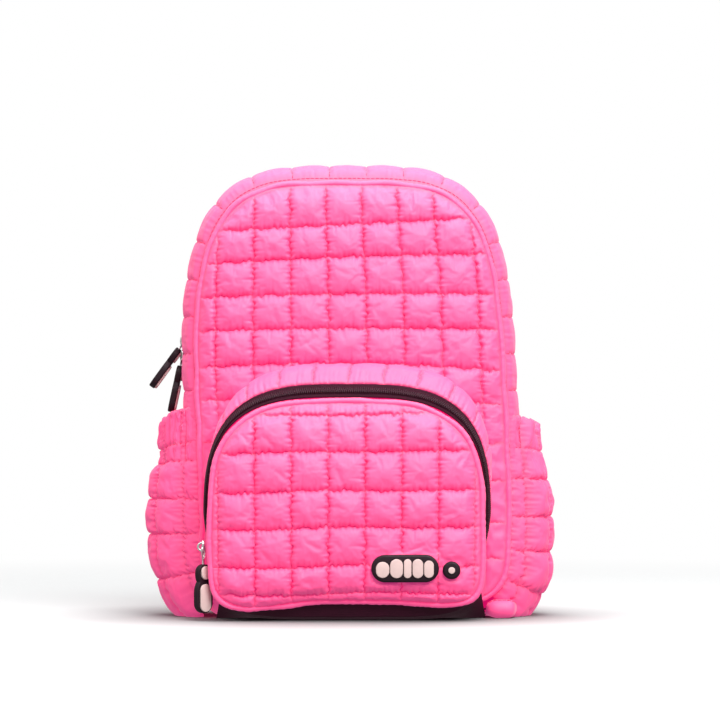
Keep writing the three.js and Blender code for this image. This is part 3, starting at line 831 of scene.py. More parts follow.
# Settings


def number_prop(name, description, default, **kind):
    return FloatProperty(name=name, description=description, default=default, **kind)


def length_prop(name, description, default):
    return number_prop(name, description, default * MM, unit="LENGTH", precision=5)


def colour_prop(name, description, default):
    return FloatVectorProperty(
        name=name, description=description, default=default, subtype="COLOR", size=3, min=0, max=1
    )


class BackpackSizes(bpy.types.PropertyGroup):
    """Sizes of the padding, seams and trims."""

    puff: length_prop("Puff", "Height of a quilted cell above its seams", 4.0)
    pucker: length_prop("Pucker", "Depth of the small folds along a seam", 1.3)
    pucker_length: length_prop("Pucker length", "Spacing of the small folds along a seam", 3.2)
    wander: length_prop("Wander", "How far a seam strays from a straight line", 0.4)
    seam_drop: length_prop("Seam drop", "Depth that a seam is pulled into the panel", 0.8)
    cloth_step: length_prop("Cloth step", "Spacing of the points of the quilted cloth", 0.8)
    stitch: length_prop("Stitch", "Length of one stitch", 2.5)
    stitch_pitch: length_prop("Stitch pitch", "Spacing of the stitches along a seam", 3.1)
    thread: length_prop("Thread", "Radius of the sewing thread", 0.34)
    tooth_pitch: length_prop("Tooth pitch", "Spacing of the zip's coil turns", 1.35)
    lining: length_prop("Lining", "Thickness of the gusset and side pocket cloth", 1.6)
    pressure: number_prop("Pressure", "Filling pressure of the padding", 8.0)
    fullness: number_prop("Fullness", "Spare cloth in the quilted cells", 0.02, subtype="FACTOR")


class BackpackColours(bpy.types.PropertyGroup):
    """Colours of the cloth and trims."""

    nylon: colour_prop("Nylon", "Quilted cloth", (1.0, 0.020, 0.180))
    # Seam: colour of the painted shade mixed into the quilted cloth at its seams and grooves
    seam: colour_prop("Seam", "Quilted cloth close to its seams", (0.85, 0.002, 0.100))
    # Painted glow: colour of the constant emission of the nylon, piping and thread
    painted_glow: colour_prop("Dye", "Glow of the fluorescent dye", (1.0, 0.015, 0.44))
    piping: colour_prop("Piping", "Cord along the panel edges", (1.0, 0.020, 0.180))
    thread: colour_prop("Thread", "Sewing thread", (0.80, 0.003, 0.095))
    black_cloth: colour_prop("Black cloth", "Base panels", (0.040, 0.006, 0.017))
    tape: colour_prop("Tape", "Zip tapes", (0.026, 0.003, 0.010))
    coil: colour_prop("Coil", "Zip coils", (0.029, 0.003, 0.011))
    rubber: colour_prop("Rubber", "Pulls and patch", (0.014, 0.005, 0.009))
    cream: colour_prop("Cream", "Inlays", (0.62, 0.45, 0.43))
    metal: colour_prop("Metal", "Sliders and loops", (0.80, 0.78, 0.77))
    webbing: colour_prop("Webbing", "Strap webbing and grab loop", (0.018, 0.012, 0.016))
    plastic: colour_prop("Plastic", "Ladder locks", (0.014, 0.010, 0.013))
    floor: colour_prop("Floor", "Studio floor", (0.53, 0.54, 0.54))


class BackpackStage(bpy.types.PropertyGroup):
    """Camera and light."""

    azimuth: number_prop("Azimuth", "Turn of the camera in degrees", -0.7)
    elevation: number_prop("Elevation", "Height of the camera in degrees", -1.2)
    distance: number_prop("Distance", "Camera to bag", 2.1, unit="LENGTH")
    lens: number_prop("Lens", "Focal length in millimetres", 158.0)
    target: FloatVectorProperty(
        name="Target", description="Point that the camera looks at",
        default=(0.0091, -0.033, 0.1714), subtype="XYZ", unit="LENGTH",
    )
    key: number_prop("Key", "Power of the main light in watts", 45.0)
    top: number_prop("Top", "Power of the light overhead in watts", 22.0)
    side: number_prop("Side", "Power of the light on the left in watts", 5.0)
    sky: number_prop("Sky", "Strength of the white surround", 0.74)


class BackpackOperator:
    """What the operators share."""

    bl_options = {"REGISTER", "UNDO"}


class BACKPACK_OT_finishes(BackpackOperator, bpy.types.Operator):
    """Mixes the finishes of the cloth and trims"""

    bl_idname = "backpack.finishes"
    bl_label = "Finishes"

    def execute(self, context):
        settings = context.scene.backpack_colours
        colours = {name: tuple(getattr(settings, name)) for name in BackpackColours.__annotations__}
        make_nylon("quilted_nylon", colours["nylon"], colours["seam"], True)
        make_nylon("piping_nylon", colours["piping"], colours["seam"], False)
        make_nylon("thread", colours["thread"], colours["seam"], False, 0.0002, 0.4)
        make_black_cloth("base_cloth", colours["black_cloth"], 0.0007, 0.0002, 0.78)
        make_black_cloth("zip_tape", colours["tape"], 0.0009, 0.0003, 0.7)
        make_black_cloth("webbing", colours["webbing"], 0.0011, 0.0004, 0.8)
        make_moulded("coil", colours["coil"], 0.42, 0.05, 0.05)
        make_moulded("rubber", colours["rubber"], 0.5, 0.15)
        make_moulded("cream", colours["cream"], 0.5, 0.1)
        make_moulded("plastic", colours["plastic"], 0.42, 0.2)
        make_metal("metal", colours["metal"])
        return {"FINISHED"}


# Quilted pieces

# The front panel's sewn lines: height, then side shift, spread, rise, tilt and sag there
PANEL_LINES = np.array(
    [
        (100, -0.5, 0.0, 0.0, 0.0, 0.0),
        (145, -1.2, 0.02, 1.0, -1.0, -2.5),
        (168, -1.2, 0.02, 1.2, -0.9, -3.5),
        (191, -0.8, 0.012, 1.3, 0.65, -0.95),
        (214, -0.6, 0.01, 1.2, 1.1, -1.1),
        (237, -1.6, -0.012, 2.8, 3.25, -1.35),
        (260, -2.6, -0.03, 1.3, 4.65, 0.05),
        (289, -3.2, -0.045, 0.5, 3.0, 0.0),
    ]
)
PANEL_PITCH = 24.7
PANEL_ROWS = (3, 14.5, 39.5, 63.5, 91, 117, 145, 168, 191, 214, 237, 260, 294)
PANEL_SEEN_FROM = 117
FACE_COLUMNS = (-95, -84, -60, -36, -12, 12, 36, 60, 84, 95)
FACE_ROWS = (2, 18, 36, 61, 85, 110.5, 134.5, 147)


class BACKPACK_OT_front_panel(BackpackOperator, bpy.types.Operator):
    """Sews the quilted front panel"""

    bl_idname = "backpack.front_panel"
    bl_label = "Front panel"

    def execute(self, context):
        step, drop = size("cloth_step"), size("seam_drop")
        columns = PANEL_PITCH * (np.arange(10) - 4.5)
        hidden = [row for row in PANEL_ROWS if row <= PANEL_SEEN_FROM]
        seen = [row for row in PANEL_ROWS if row >= PANEL_SEEN_FROM]
        beside = [row + way for row in hidden[1:-1] for way in (-0.7, 0.7)]
        parts = spread_lines(hidden, 2.6 * step), beside, spread_lines(seen, step)
        up = np.unique(np.concatenate(parts))
        line = Outline(**SEAM_SHAPE, inset=0.8)

        def lay(a, b, height=0.0, shift_a=0.0, shift_b=0.0):
            shift, spread, rise, tilt, sag = (
                np.interp(b, PANEL_LINES[:, 0], PANEL_LINES[:, k]) for k in range(1, 6)
            )
            x = a + shift + spread * a + shift_a
            z = b + rise + tilt * a / 90 + sag * (a / 90) ** 2 + shift_b
            reach, limit = line.polar(x, z)
            flat = 1 - 0.6 * smooth_step(np.abs(x), 76, 88) * (1 - smooth_step(z, 130, 165))
            return stack(x, drop - panel_dome(x, z) - height * flat * swell(limit - reach, 14), z)

        lines = columns, PANEL_ROWS
        sew_panel("front_panel", spread_lines(columns, step), up, lines, lay, line, 1.6, settle, 11)
        rows = [row for row in PANEL_ROWS if 10 < row < 280]
        inner = Outline(**SEAM_SHAPE, inset=3)
        stitch_panel(
            "front_panel_stitches", lay, columns[1:-1], rows, (-104, 104), (140, 290), inner,
            settle, (0, -1, 0),
        )
        return {"FINISHED"}


def end_pillow(from_end, depth, height):
    """The gusset's lower right end, pressed out into a small pillow beside the base."""
    along = np.clip((from_end - 6.5) / 6.5, -0.98, 0.98)
    turn = np.radians(95 + 175 * np.clip((depth - 2.8) / 15, 0, 1))
    size = np.sqrt(1 - np.abs(along) ** 3)
    z = 6.3 + (6.2 + 0.4 * height) * size * np.sin(turn)
    y = 3 + (8 + 0.4 * height) * size * np.cos(turn) + 12 * smooth_step(along, 0.6, 1)
    return settle(stack(97.3 + 11 * along, y, np.maximum(0, z)))


class BACKPACK_OT_gussets(BackpackOperator, bpy.types.Operator):
    """Sews the padded gussets in front of and behind the main zip"""

    bl_idname = "backpack.gussets"
    bl_label = "Gussets"

    def execute(self, context):
        self.band("front_gusset", (2.8, 4.6, 34.4), 4.6, 31, 1.3)
        self.band("rear_gusset", (45.6, 71.0, 77.6), 71.0, 47, 1.9)
        return {"FINISHED"}

    def band(self, name, depths, topstitch, seed, coarse):
        step = coarse * size("cloth_step")
        arch = SEAM.total - 2 * BASE_HALF_LENGTH
        lines = lobe_lines(arch)
        b_lines = sorted(BODY_DEPTH - depth for depth in depths)
        mesh, a, b = sheet(name, spread_lines(lines, step), spread_lines(b_lines, step))
        quilt = Quilt(a, b, lines, b_lines, seed, 0.8, 0.9)

        def lay(a, b, height=0.0, shift_a=0.0):
            """The edges tuck under the piping and down to the zip; the ends swell over the base."""
            s = ARCH_START + (a + shift_a) / SEAM.total
            depth = BODY_DEPTH - b
            low = (1 - smooth_step(a, 13, 17)) * (1 - smooth_step(depth, 15, 22))
            seam = 1 - smooth_step(np.minimum(depth, BODY_DEPTH - depth), 2.0, 7.5)
            tuck = GUSSET_BULGE * (1 - np.abs(1 - 2 * depth / BODY_DEPTH) ** 3) * seam
            zip_edge = 1 - smooth_step(np.abs(depth - BODY_DEPTH / 2), 5.5, 8.5)
            crest = 0.2 + 3.2 * np.maximum(0, SEAM.at(s)[3])
            reach = (height + crest) * (1 - 0.7 * seam) - tuck - (2.6 + crest) * zip_edge
            point = gusset_point(s, depth, reach)
            return point + (end_pillow(a, depth, height) - point) * low[..., None]

        from_line = quilt_cells(a, lines)[0]
        from_top = np.abs(b - (BODY_DEPTH - topstitch))
        # Painted shade: the seam mark darkens the groove along the piping and the cloth across each
        # lobe seam
        groove_shade = 1 - smooth_step(np.minimum(BODY_DEPTH - b, b), 3.8, 5.0)
        edge = swell(np.minimum(b - b_lines[0], b_lines[-1] - b), 6)
        gathers = 0.7 * waves(seed + 7, 3.6, a) * np.exp(-from_top / 4.5)
        lift = edge * (0.5 + gathers) * (1 - np.exp(-from_line / 6))
        seam = np.maximum.reduce([np.exp(-from_line / 0.9), quilt.seam_shade, groove_shade])
        shape_sheet(mesh, lay(a, b, quilt.height + lift, quilt.shift_a), a, b, seam)
        held = at_ends(a) | at_ends(b) | (from_line < ON_LINE) | (from_top < ON_LINE)
        sew(name, mesh, held, BAND_PRESSURE)
        widths = np.arange(b_lines[0] + 4, b_lines[-1] - 2, PATH_STEP)
        for number, x in enumerate(lines[1:-1]):
            nx, nz = SEAM.at(ARCH_START + x / SEAM.total)[2:]
            path = lay(np.full_like(widths, x), widths, STITCH_RISE)
            stitch_row("gusset_stitches", path, (nx, 0, nz), stagger(number))
        walk = np.arange(2, arch - 2, PATH_STEP)
        rise = 0.5 * (1 - np.exp(-quilt_cells(walk, lines)[0] / 6)) + STITCH_RISE
        nx, nz = SEAM.at(ARCH_START + walk / SEAM.total)[2:]
        path = lay(walk, np.full_like(walk, BODY_DEPTH - topstitch), rise)
        stitch_row("gusset_stitches", path, stack(nx, 0, nz))


FACE_LINE = pocket_ring("piping", 0.8)
# Patches that press on the pocket's face: centre, half width and half height, and how high
PATCH_PLACES, PATCH_PRESS = ((36.7, 35, 21, 8), (67, 33.7, 5, 5)), 4.8


class BACKPACK_OT_pocket_panel(BackpackOperator, bpy.types.Operator):
    """Sews the quilted face of the front pocket"""

    bl_idname = "backpack.pocket_panel"
    bl_label = "Pocket panel"

    def execute(self, context):
        step, drop = size("cloth_step"), size("seam_drop")
        middle = RING_SIZES["piping"][4]

        def lay(a, b, height=0.0, shift_a=0.0, shift_b=0.0):
            x = a * (1 + 0.00012 * (b - 80)) + middle + shift_a
            z = b + 0.9 * np.sin(a / 38 + 0.6) + 0.6 * np.sin(a / 17 + b / 30) + shift_b
            reach, limit = FACE_LINE.polar(x, z)
            y = FACE_FRONT + drop - dome_at(x - middle, z, FACE_DOME, *RING_SIZES["piping"][1:4])
            height = height + 0.45 * waves(87, 3.3, a) * smooth_step(b, 135.5, 139)
            for patch_x, patch_z, wide, tall in PATCH_PLACES:
                beside = np.maximum(0, np.abs(x - patch_x) - wide)
                above = np.maximum(0, np.abs(z - patch_z) - tall)
                off = np.hypot(beside, above)
                height = height + (PATCH_PRESS - height) * (1 - smooth_step(off, 0.5, 5))
            return stack(x, y - height * swell(limit - reach, 11), z)

        across, up = spread_lines(FACE_COLUMNS, step), spread_lines(FACE_ROWS, step)
        lines = FACE_COLUMNS, FACE_ROWS
        sew_panel("pocket_panel", across, up, lines, lay, FACE_LINE, FACE_FRONT + 1.6, np.array, 61)
        inner = pocket_ring("piping", 3)
        stitch_panel(
            "pocket_stitches", lay, FACE_COLUMNS[1:-1], FACE_ROWS[1:-1], (-92, 92), (5, 145), inner,
            np.array, (0, -1, 0),
        )
        return {"FINISHED"}


# How far the sides of the roll are drawn in below its shoulders
ROLL_DRAWN = {"panel": 3.0, "crest": 4.5, "roll_edge": 0.0}
# Length round the roll from the panel to the zip, and how deep its edges are drawn
ROLL_GIRTH, ROLL_SUNK = 31.0, 1.5


def roll_point(s, t):
    """A point of the roll from the panel, t = 0, to the pocket's zip, t = 1, and its way out."""
    spots = []
    for name in ("panel", "crest", "roll_edge"):
        x, z = RINGS[name].point(s)
        drawn = ROLL_DRAWN[name] * (1 - smooth_step(z, 60, 145))
        x = x - drawn * np.clip(x / 40, -1, 1)
        depth = RINGS[name].depth - (panel_dome(x - lean_at(z), z) if name == "panel" else 0)
        spots.append(stack(x, depth, z))
    t = np.asarray(t)[..., None]
    parts = 2 * (t - 0.5) * (t - 1), 4 * t * (1 - t), 2 * t * (t - 0.5)
    slopes = 4 * t - 3, 4 - 8 * t, 4 * t - 1
    point, tangent = (sum(spot * part for spot, part in zip(spots, row)) for row in (parts, slopes))
    nx, nz = RINGS["crest"].at(s)[2:]
    return point, unit(np.cross(stack(-nz, 0, nx), tangent))


class BACKPACK_OT_pocket_roll(BackpackOperator, bpy.types.Operator):
    """Sews the padded roll round the front pocket"""

    bl_idname = "backpack.pocket_roll"
    bl_label = "Pocket roll"

    def execute(self, context):
        step = 1.1 * size("cloth_step")
        total = RINGS["crest"].total
        lines, b_lines = lobe_lines(total * (1 - 2 * POCKET_ARCH_START)), (0.0, ROLL_GIRTH)
        mesh, a, b = sheet("pocket_roll", spread_lines(lines, step), spread_lines(b_lines, step))
        quilt = Quilt(a, b, lines, b_lines, 83, 1.9, 1.0)
        point, out = roll_point(POCKET_ARCH_START + (a + quilt.shift_a) / total, b / ROLL_GIRTH)
        from_line = quilt_cells(a, lines)[0]
        edge = swell(np.minimum(b, ROLL_GIRTH - b), 5)
        gathers = 0.5 * waves(85, 3.6, a) * np.exp(-(ROLL_GIRTH - b) / 5)
        gathers = (gathers - 0.6) * (1 - np.exp(-from_line / 4))
        height = quilt.height + edge * (gathers - ROLL_SUNK)
        shape_sheet(mesh, point + out * height[:, None], a, b, quilt.seam_shade)
        held = at_ends(a) | at_ends(b) | (from_line < ON_LINE)
        sew("pocket_roll", mesh, held, BAND_PRESSURE)
        t = np.linspace(0.05, 0.98, 40)
        for number, x in enumerate(lines[1:-1]):
            path, out = roll_point(np.full_like(t, POCKET_ARCH_START + x / total), t)
            sunk = 0.1 - ROLL_SUNK * swell(ROLL_GIRTH * np.minimum(t, 1 - t), 5)
            stitch_row("pocket_stitches", path + sunk[:, None] * out, out, stagger(number))
        return {"FINISHED"}


# Side pockets: how far the cloth stands out at each height, left and right
SIDE_PUFF = np.array(
    [
        (0, 1, 6), (9, 5.5, 10), (19, 12.5, 13), (32, 17.5, 15), (45, 20, 13.5), (59, 19.8, 14),
        (78, 19.2, 13.4), (98, 16.2, 11), (107, 13.4, 9.5), (116, 13.6, 8.5), (128, 11.5, 7),
        (138, 9, 4.5),
    ]
)
SIDE_FRONT, SIDE_BACK, SIDE_START = 4.2, 72.0, 92.0
SIDE_MIDDLE = 70.0
SIDE_HEM = {"left": 135.8, "right": 132.0}
SIDE_TILT = {"left": 8.0, "right": 4.0}
SIDE_ROWS = {"left": (16, 32, 56, 79, 103, 114), "right": (16.5, 26, 45, 67, 92, 112)}


class BACKPACK_OT_side_pockets(BackpackOperator, bpy.types.Operator):
    """Sews the gathered side pockets"""

    bl_idname = "backpack.side_pockets"
    bl_label = "Side pockets"

    def execute(self, context):
        for number, side in enumerate(SIDE_HEM):
            self.pocket(side, 1 + number)
        return {"FINISHED"}

    def pocket(self, side, number):
        step = size("cloth_step")
        start = SIDE_START / SEAM.total
        stretch = (SEAM.right_at(SIDE_HEM[side]) - start) * SEAM.total

        def depth_at(u):
            return SIDE_FRONT + u * (SIDE_BACK - SIDE_FRONT)

        def height_at(u, z):
            full = 1 - np.abs(2 * u - 1) ** 2.4
            puff = np.interp(z, SIDE_PUFF[:, 0], SIDE_PUFF[:, number])
            cover = smooth_step(u, 0, 0.14) * smooth_step(1 - u, 0, 0.1)
            tuck = 1.8 * (1 - smooth_step(u, 0, 0.05))
            return (lobe_at(depth_at(u)) + 1.8 + full * puff) * cover - tuck

        def place(s, u, height):
            return gusset_point(s if side == "right" else 1 - s, depth_at(u), height)

        def lay(a, b, height):
            """a runs up the pocket from its lower end, and b round it from its back edge."""
            u = np.interp(b, girth, spans)
            tilt = SIDE_TILT[side] * (0.5 - smooth_step(u, 0, 0.4))
            s = start + (a + tilt * smooth_step(a, stretch - 60, stretch)) / SEAM.total
            return place(s, u, height_at(u, np.maximum(0, SEAM.point(s)[1])) + height)

        # Length round the pocket at its middle height
        spans = np.linspace(1, 0, 200)
        middle = np.full_like(spans, SEAM.right_at(SIDE_MIDDLE))
        girth = walk_along(place(middle, spans, height_at(spans, SIDE_MIDDLE)))
        round_lines = girth[-1] - np.array([girth[-1], 80, 57, 34, 11.5, 0])
        round_lines = np.unique(np.clip(round_lines, 0, girth[-1]))
        round_lines = round_lines[np.concatenate([[True], np.diff(round_lines) > 6])]
        rows = [(SEAM.right_at(z) - start) * SEAM.total for z in SIDE_ROWS[side]]
        lines = np.array([0, *[row for row in rows if 6 < row < stretch - 6], stretch])
        up = spread_lines(lines, step)[:: -1 if side == "left" else 1]
        mesh, a, b = sheet(f"side_pocket_{side}", up, spread_lines(round_lines, step))
        quilt = Quilt(a, b, lines, round_lines, 101 + 20 * number, 2.8, 2.6, 2.0)
        gather = smooth_step(a, stretch - 42, stretch - 24)
        pleat = waves(150 + number, 5.5, b, 0.16 * a)
        pleat = pleat * np.minimum(1, np.minimum(b, girth[-1] - b) / 8)
        ruffle = smooth_step(a, stretch - 12, stretch)
        height = quilt.height * (1 - 0.55 * gather) + pleat * (gather + 0.8 * ruffle)
        points = lay(a + quilt.shift_a, b + quilt.shift_b, height)
        shape_sheet(mesh, points, a, b, quilt.seam_shade**0.6)
        held = quilt.held & ~((b > 1) & (b < girth[-1] - 1) & (a > stretch - 1))
        sew(f"side_pocket_{side}", mesh, held, SIDE_PRESSURE)
        way = 1.0 if side == "right" else -1.0
        turns, ups = (np.arange(1, far - 1, PATH_STEP) for far in (girth[-1], stretch))
        for k, x in enumerate(lines[1:-1]):
            path = lay(np.full_like(turns, x), turns, STITCH_RISE)
            stitch_row("side_pocket_stitches", path, (way, 0, 0.01), stagger(k))
        for k, x in enumerate(round_lines[1:-1]):
            path = lay(ups, np.full_like(ups, x), STITCH_RISE)
            stitch_row("side_pocket_stitches", path, (way, -0.4, 0), stagger(k))


class BACKPACK_OT_back_panel(BackpackOperator, bpy.types.Operator):
    """Sews the padded back panel"""

    bl_idname = "backpack.back_panel"
    bl_label = "Back panel"

    def execute(self, context):
        step = 2.1 * size("cloth_step")
        columns = 32.0 * (np.arange(8) - 3.5)
        rows = (2, 34, 66, 98, 130, 162, 194, 226, 258, 294)
        line = Outline(**SEAM_SHAPE, inset=0.6)

        def lay(a, b, height=0.0, shift_a=0.0, shift_b=0.0):
            x, z = -(a + shift_a), b + shift_b
            reach, limit = line.polar(x, z)
            return stack(x, BODY_DEPTH - 3.0 + height * swell(limit - reach, 8), z)

        across, up = spread_lines(columns, step), spread_lines(rows, step)
        depth = BODY_DEPTH - 2.6
        sew_panel("back_panel", across, up, (columns, rows), lay, line, depth, settle, 171, 2.0)
        inner = Outline(**SEAM_SHAPE, inset=4)
        stitch_panel(
            "back_stitches", lay, columns[1:-1], rows[1:-1], (-104, 104), (10, 288), inner, settle,
            (0, 1, 0),
        )
        return {"FINISHED"}


class BACKPACK_OT_fill(BackpackOperator, bpy.types.Operator):
    """Fills the sewn cloth with padding, gives it its lining and its finish"""

    bl_idname = "backpack.fill"
    bl_label = "Fill the padding"

    def execute(self, context):
        fill_sewn(SEWN)
        backs = {"front_panel": 3.6, "pocket_panel": FACE_FRONT + 3.6, "back_panel": 75.4}
        for name, piece, _, _ in SEWN:
            if name in backs:
                close_back(piece, backs[name])
            else:
                thicken(piece, size("lining"))
            node = "pocket_gusset" if name == "pocket_roll" else name
            dress(piece, "quilted_nylon", node, fill=PANEL_SOFTNESS)
        return {"FINISHED"}


class BACKPACK_OT_stitches(BackpackOperator, bpy.types.Operator):
    """Runs the thread along the seams"""

    bl_idname = "backpack.stitches"
    bl_label = "Stitches"

    def execute(self, context):
        shape = bead(size("stitch"), size("thread"), 5, 4)
        for group, rows in STITCHES.items():
            matrices = []
            for path, out, start in rows:
                places = along_path(path, size("stitch_pitch"), start)
                if len(places):
                    rows_there = path, np.gradient(path, axis=0), out
                    matrices.append(frames(*(sample(row, places) for row in rows_there)))
            mesh = repeat(group, shape, np.concatenate(matrices))
            dress(add_object(group, mesh), "thread")
        return {"FINISHED"}


# Trims

CORD_RADIUS = 1.95
COIL_BEAD, COIL_OFFSET = (3.1, 0.62, 6, 4), 0.78
BASE_WALL, TAPE_WALL = 1.6, 1.1


class BACKPACK_OT_piping(BackpackOperator, bpy.types.Operator):
    """Lays the piping round the front panel and the pocket"""

    bl_idname = "backpack.piping"
    bl_label = "Piping"

    def execute(self, context):
        self.cord("front_panel_piping", SEAM, 2.6, settle, 5)
        self.cord("pocket_piping", RINGS["piping"], RINGS["piping"].depth, np.array, 6)
        return {"FINISHED"}

    def cord(self, name, line, depth, place, seed):
        count = int(line.total / 1.1)
        s = np.arange(count) / count
        x, z, nx, nz = line.at(s)
        walk = s * line.total
        radius = CORD_RADIUS + 0.1 * waves(seed, 4.5, walk) + 0.07 * waves(seed + 9, 17, walk)
        sway = 0.35 * waves(seed + 3, 38, walk)
        sway = sway * (1 - np.exp(-np.minimum(walk, line.total - walk) / 20))
        path = place(stack(x + nx * sway, depth, z + nz * sway))
        mesh = tube(name, path, stack(nx, 0, nz), radius, 14, closed=True)
        add_piece(name, mesh, "piping_nylon")


def tape_frame(s):
    """Both edges of the pocket's zip tape, the way across it and the way out of it."""
    inner, outer = ring_point("tape_inner", s), ring_point("tape_outer", s)
    nx, nz = RINGS["tape_inner"].at(s)[2:]
    across = unit(outer - inner)
    return inner, outer, across, unit(np.cross(stack(-nz, 0, nx), across))


class BACKPACK_OT_zips(BackpackOperator, bpy.types.Operator):
    """Makes the zip tapes and coils"""

    bl_idname = "backpack.zips"
    bl_label = "Zips"

    def execute(self, context):
        self.pocket_zip()
        self.main_zip()
        return {"FINISHED"}

    def tape(self, name, mesh, points, a, b):
        shape_sheet(mesh, points, a, b)
        add_piece(name, mesh, "zip_tape", TAPE_WALL)

    def coil(self, name, path, across, out):
        """Turns of a zip's coil, side by side along a path."""
        places = along_path(path, size("tooth_pitch") / 2)
        spots, way, up = (sample(row, places) for row in (path, across, out))
        hand = np.where(np.arange(len(places)) % 2 == 0, 1.0, -1.0)[:, None]
        matrices = frames(spots + hand * way * COIL_OFFSET, way, up)
        add_piece(name, repeat(name, bead(*COIL_BEAD), matrices), "coil")

    def pocket_zip(self):
        low, high = POCKET_ARCH_START, 1 - POCKET_ARCH_START
        name = "pocket_zip_tape"
        mesh, s, t = sheet(name, np.linspace(low, high, 361), np.linspace(0, 1, 11))
        inner, outer, _, out = tape_frame(s)
        welt = 0.5 * sum(np.exp(-(((t - edge) / 0.06) ** 2)) for edge in (0.12, 0.88))
        part = 1.08 * t[:, None] - 0.04
        point = inner * (1 - part) + outer * part + out * (0.2 + welt)[:, None]
        self.tape(name, mesh, point, s * RINGS["tape_inner"].total, t * 9.4)
        inner, outer, across, out = tape_frame(np.linspace(low + 0.002, high - 0.002, 500))
        self.coil("pocket_zip_coil", (inner + outer) / 2 + out * 0.9, across, out)

    def main_zip(self):
        name, width = "main_zip_tape", 11.8
        arch = np.linspace(ARCH_START, 1 - ARCH_START, 421)
        mesh, s, t = sheet(name, arch, np.linspace(0, 1, 9))
        point = gusset_point(s, 45.9 - t * width, np.full_like(s, -TAPE_RECESS))
        self.tape(name, mesh, point, s * SEAM.total, t * width)
        low = ARCH_START + (1 - 2 * ARCH_START) * COIL_START
        s = np.linspace(low, 1 - low, 900)
        nx, nz = SEAM.at(s)[2:]
        path = gusset_point(s, np.full_like(s, BODY_DEPTH / 2), np.full_like(s, -TAPE_RECESS + 0.7))
        across = np.broadcast_to(np.array([0.0, -1.0, 0.0]), path.shape)
        self.coil("main_zip_coil", path, across, stack(nx, 0, nz))


class BACKPACK_OT_base(BackpackOperator, bpy.types.Operator):
    """Sews the black base under the body and the pocket"""

    bl_idname = "backpack.base"
    bl_label = "Base"

    def execute(self, context):
        self.body_base()
        self.pocket_base()
        return {"FINISHED"}

    def body_base(self):
        span = ARCH_START - CLEARANCE / SEAM.total
        mesh, s, t = sheet("base_panel", np.linspace(-span, span, 111), np.linspace(0, 1, 45))
        walk, depth = s * SEAM.total, 74.6 - t * 69.2
        slack = 0.5 * waves(201, 30, walk, depth) * swell(np.minimum(t, 1 - t), 0.2)
        shape_sheet(mesh, gusset_point(s, depth, slack), walk, depth)
        add_piece("base_panel", mesh, "base_cloth", BASE_WALL)

    def pocket_base(self):
        stops = {"floor": 0, "crest": 18, "roll_edge": 30, "tape_outer": 37, "piping": 41}
        span, far = POCKET_ARCH_START - 0.001, stops["piping"]
        mesh, s, b = sheet("pocket_base", np.linspace(-span, span, 151), np.linspace(0, far, 41))
        walk = s * RINGS["crest"].total
        spots = np.array([ring_point(name, s) for name in stops])
        spots[0, :, 2] = 0
        rows = list(stops.values())
        point = np.array(
            [[np.interp(b[i], rows, spots[:, i, axis]) for axis in range(3)] for i in range(len(s))]
        )
        front = smooth_step(b, 26, 40)
        point[:, 2] += 2.2 * smooth_step(b, 16, 30)
        point[:, 2] = np.maximum(0, point[:, 2] + front * 0.8 * waves(207, 26, walk, b))
        point[:, 1] += front * 0.9 * waves(211, 19, walk, 0.5 * b)
        shape_sheet(mesh, point, walk, b)
        add_piece("pocket_base", mesh, "base_cloth", BASE_WALL)


# Pulls, sliders and patches


def turned(angle, axis):
    return Matrix.Rotation(math.radians(angle), 4, axis)


def thick_plate(bm, depth):
    """Pulls flat faces back by a depth and turns the plate's faces outwards."""
    made = bmesh.ops.extrude_face_region(bm, geom=list(bm.faces))
    moved = [item for item in made["geom"] if isinstance(item, bmesh.types.BMVert)]
    bmesh.ops.translate(bm, verts=moved, vec=(0, depth, 0))
    bmesh.ops.recalc_face_normals(bm, faces=bm.faces)


def round_off(bm, edges, offset, segments, matrix):
    """Rounds the edges of a plate in millimetres and puts it in its place."""
    bmesh.ops.bevel(
        bm, geom=edges, offset=offset, offset_type="OFFSET", affect="EDGES", segments=segments,
        profile=0.5, material=-1, clamp_overlap=True,
    )
    bm.transform(Matrix.Scale(MM, 4) @ Matrix.Translation(Vector(SHIFT)) @ matrix)
    return bm


def slab(outline, front, back, bevel, matrix, segments=3):
    """A plate cut to an outline in X and Z, from a front plane to a back plane, edges rounded."""
    bm = bmesh.new()
    bmesh.ops.create_circle(bm, cap_ends=True, cap_tris=False, segments=len(outline), radius=1)
    bm.verts.ensure_lookup_table()
    for vert, (x, z) in zip(bm.verts, outline):
        vert.co = (x, front, z)
    thick_plate(bm, back - front)
    level = [abs(edge.verts[0].co.y - edge.verts[1].co.y) < ON_LINE for edge in bm.edges]
    rims = [edge for edge, flat in zip(bm.edges, level) if flat]
    return round_off(bm, rims, bevel, segments, matrix)


def pill(width, height, count=56):
    """Outline of a bar with round ends."""
    radius = min(width, height) / 2
    turn = 2 * np.pi * np.arange(count) / count
    x, z = radius * np.cos(turn), radius * np.sin(turn)
    if width >= height:
        return np.stack([x + np.where(x >= 0, 1, -1) * (width / 2 - radius), z], -1)
    return np.stack([x, z + np.where(z >= 0, 1, -1) * (height / 2 - radius)], -1)


def curve(*points, count=12):
    """Points along a Bezier curve, without its last."""
    points = [np.array(point, float) for point in points]
    t = np.linspace(0, 1, count, endpoint=False)[:, None]
    while len(points) > 1:
        points = [p * (1 - t) + q * t for p, q in zip(points[:-1], points[1:])]
    return points[0]


PULL = {"length": 32, "head": 5.6, "body": 6.6, "neck": 4.4, "neck_at": 11.4, "half": 2.1}
# Zip, place on it, height, turns of loop and tab, swing, length of the loop, side that is seen
PULLS = (
    ("pocket", "", 51, 75, 40, 0, 12.5, -1),
    ("main", "_upper", 184.6, -90, -90, 36, 6, 1),
    ("main", "_lower", 174.3, -90, -90, 12, 6, 1),
)
BAIL_HEIGHT = 2.7
BAIL_RISE = {"main": 0.8, "pocket": 2.9}
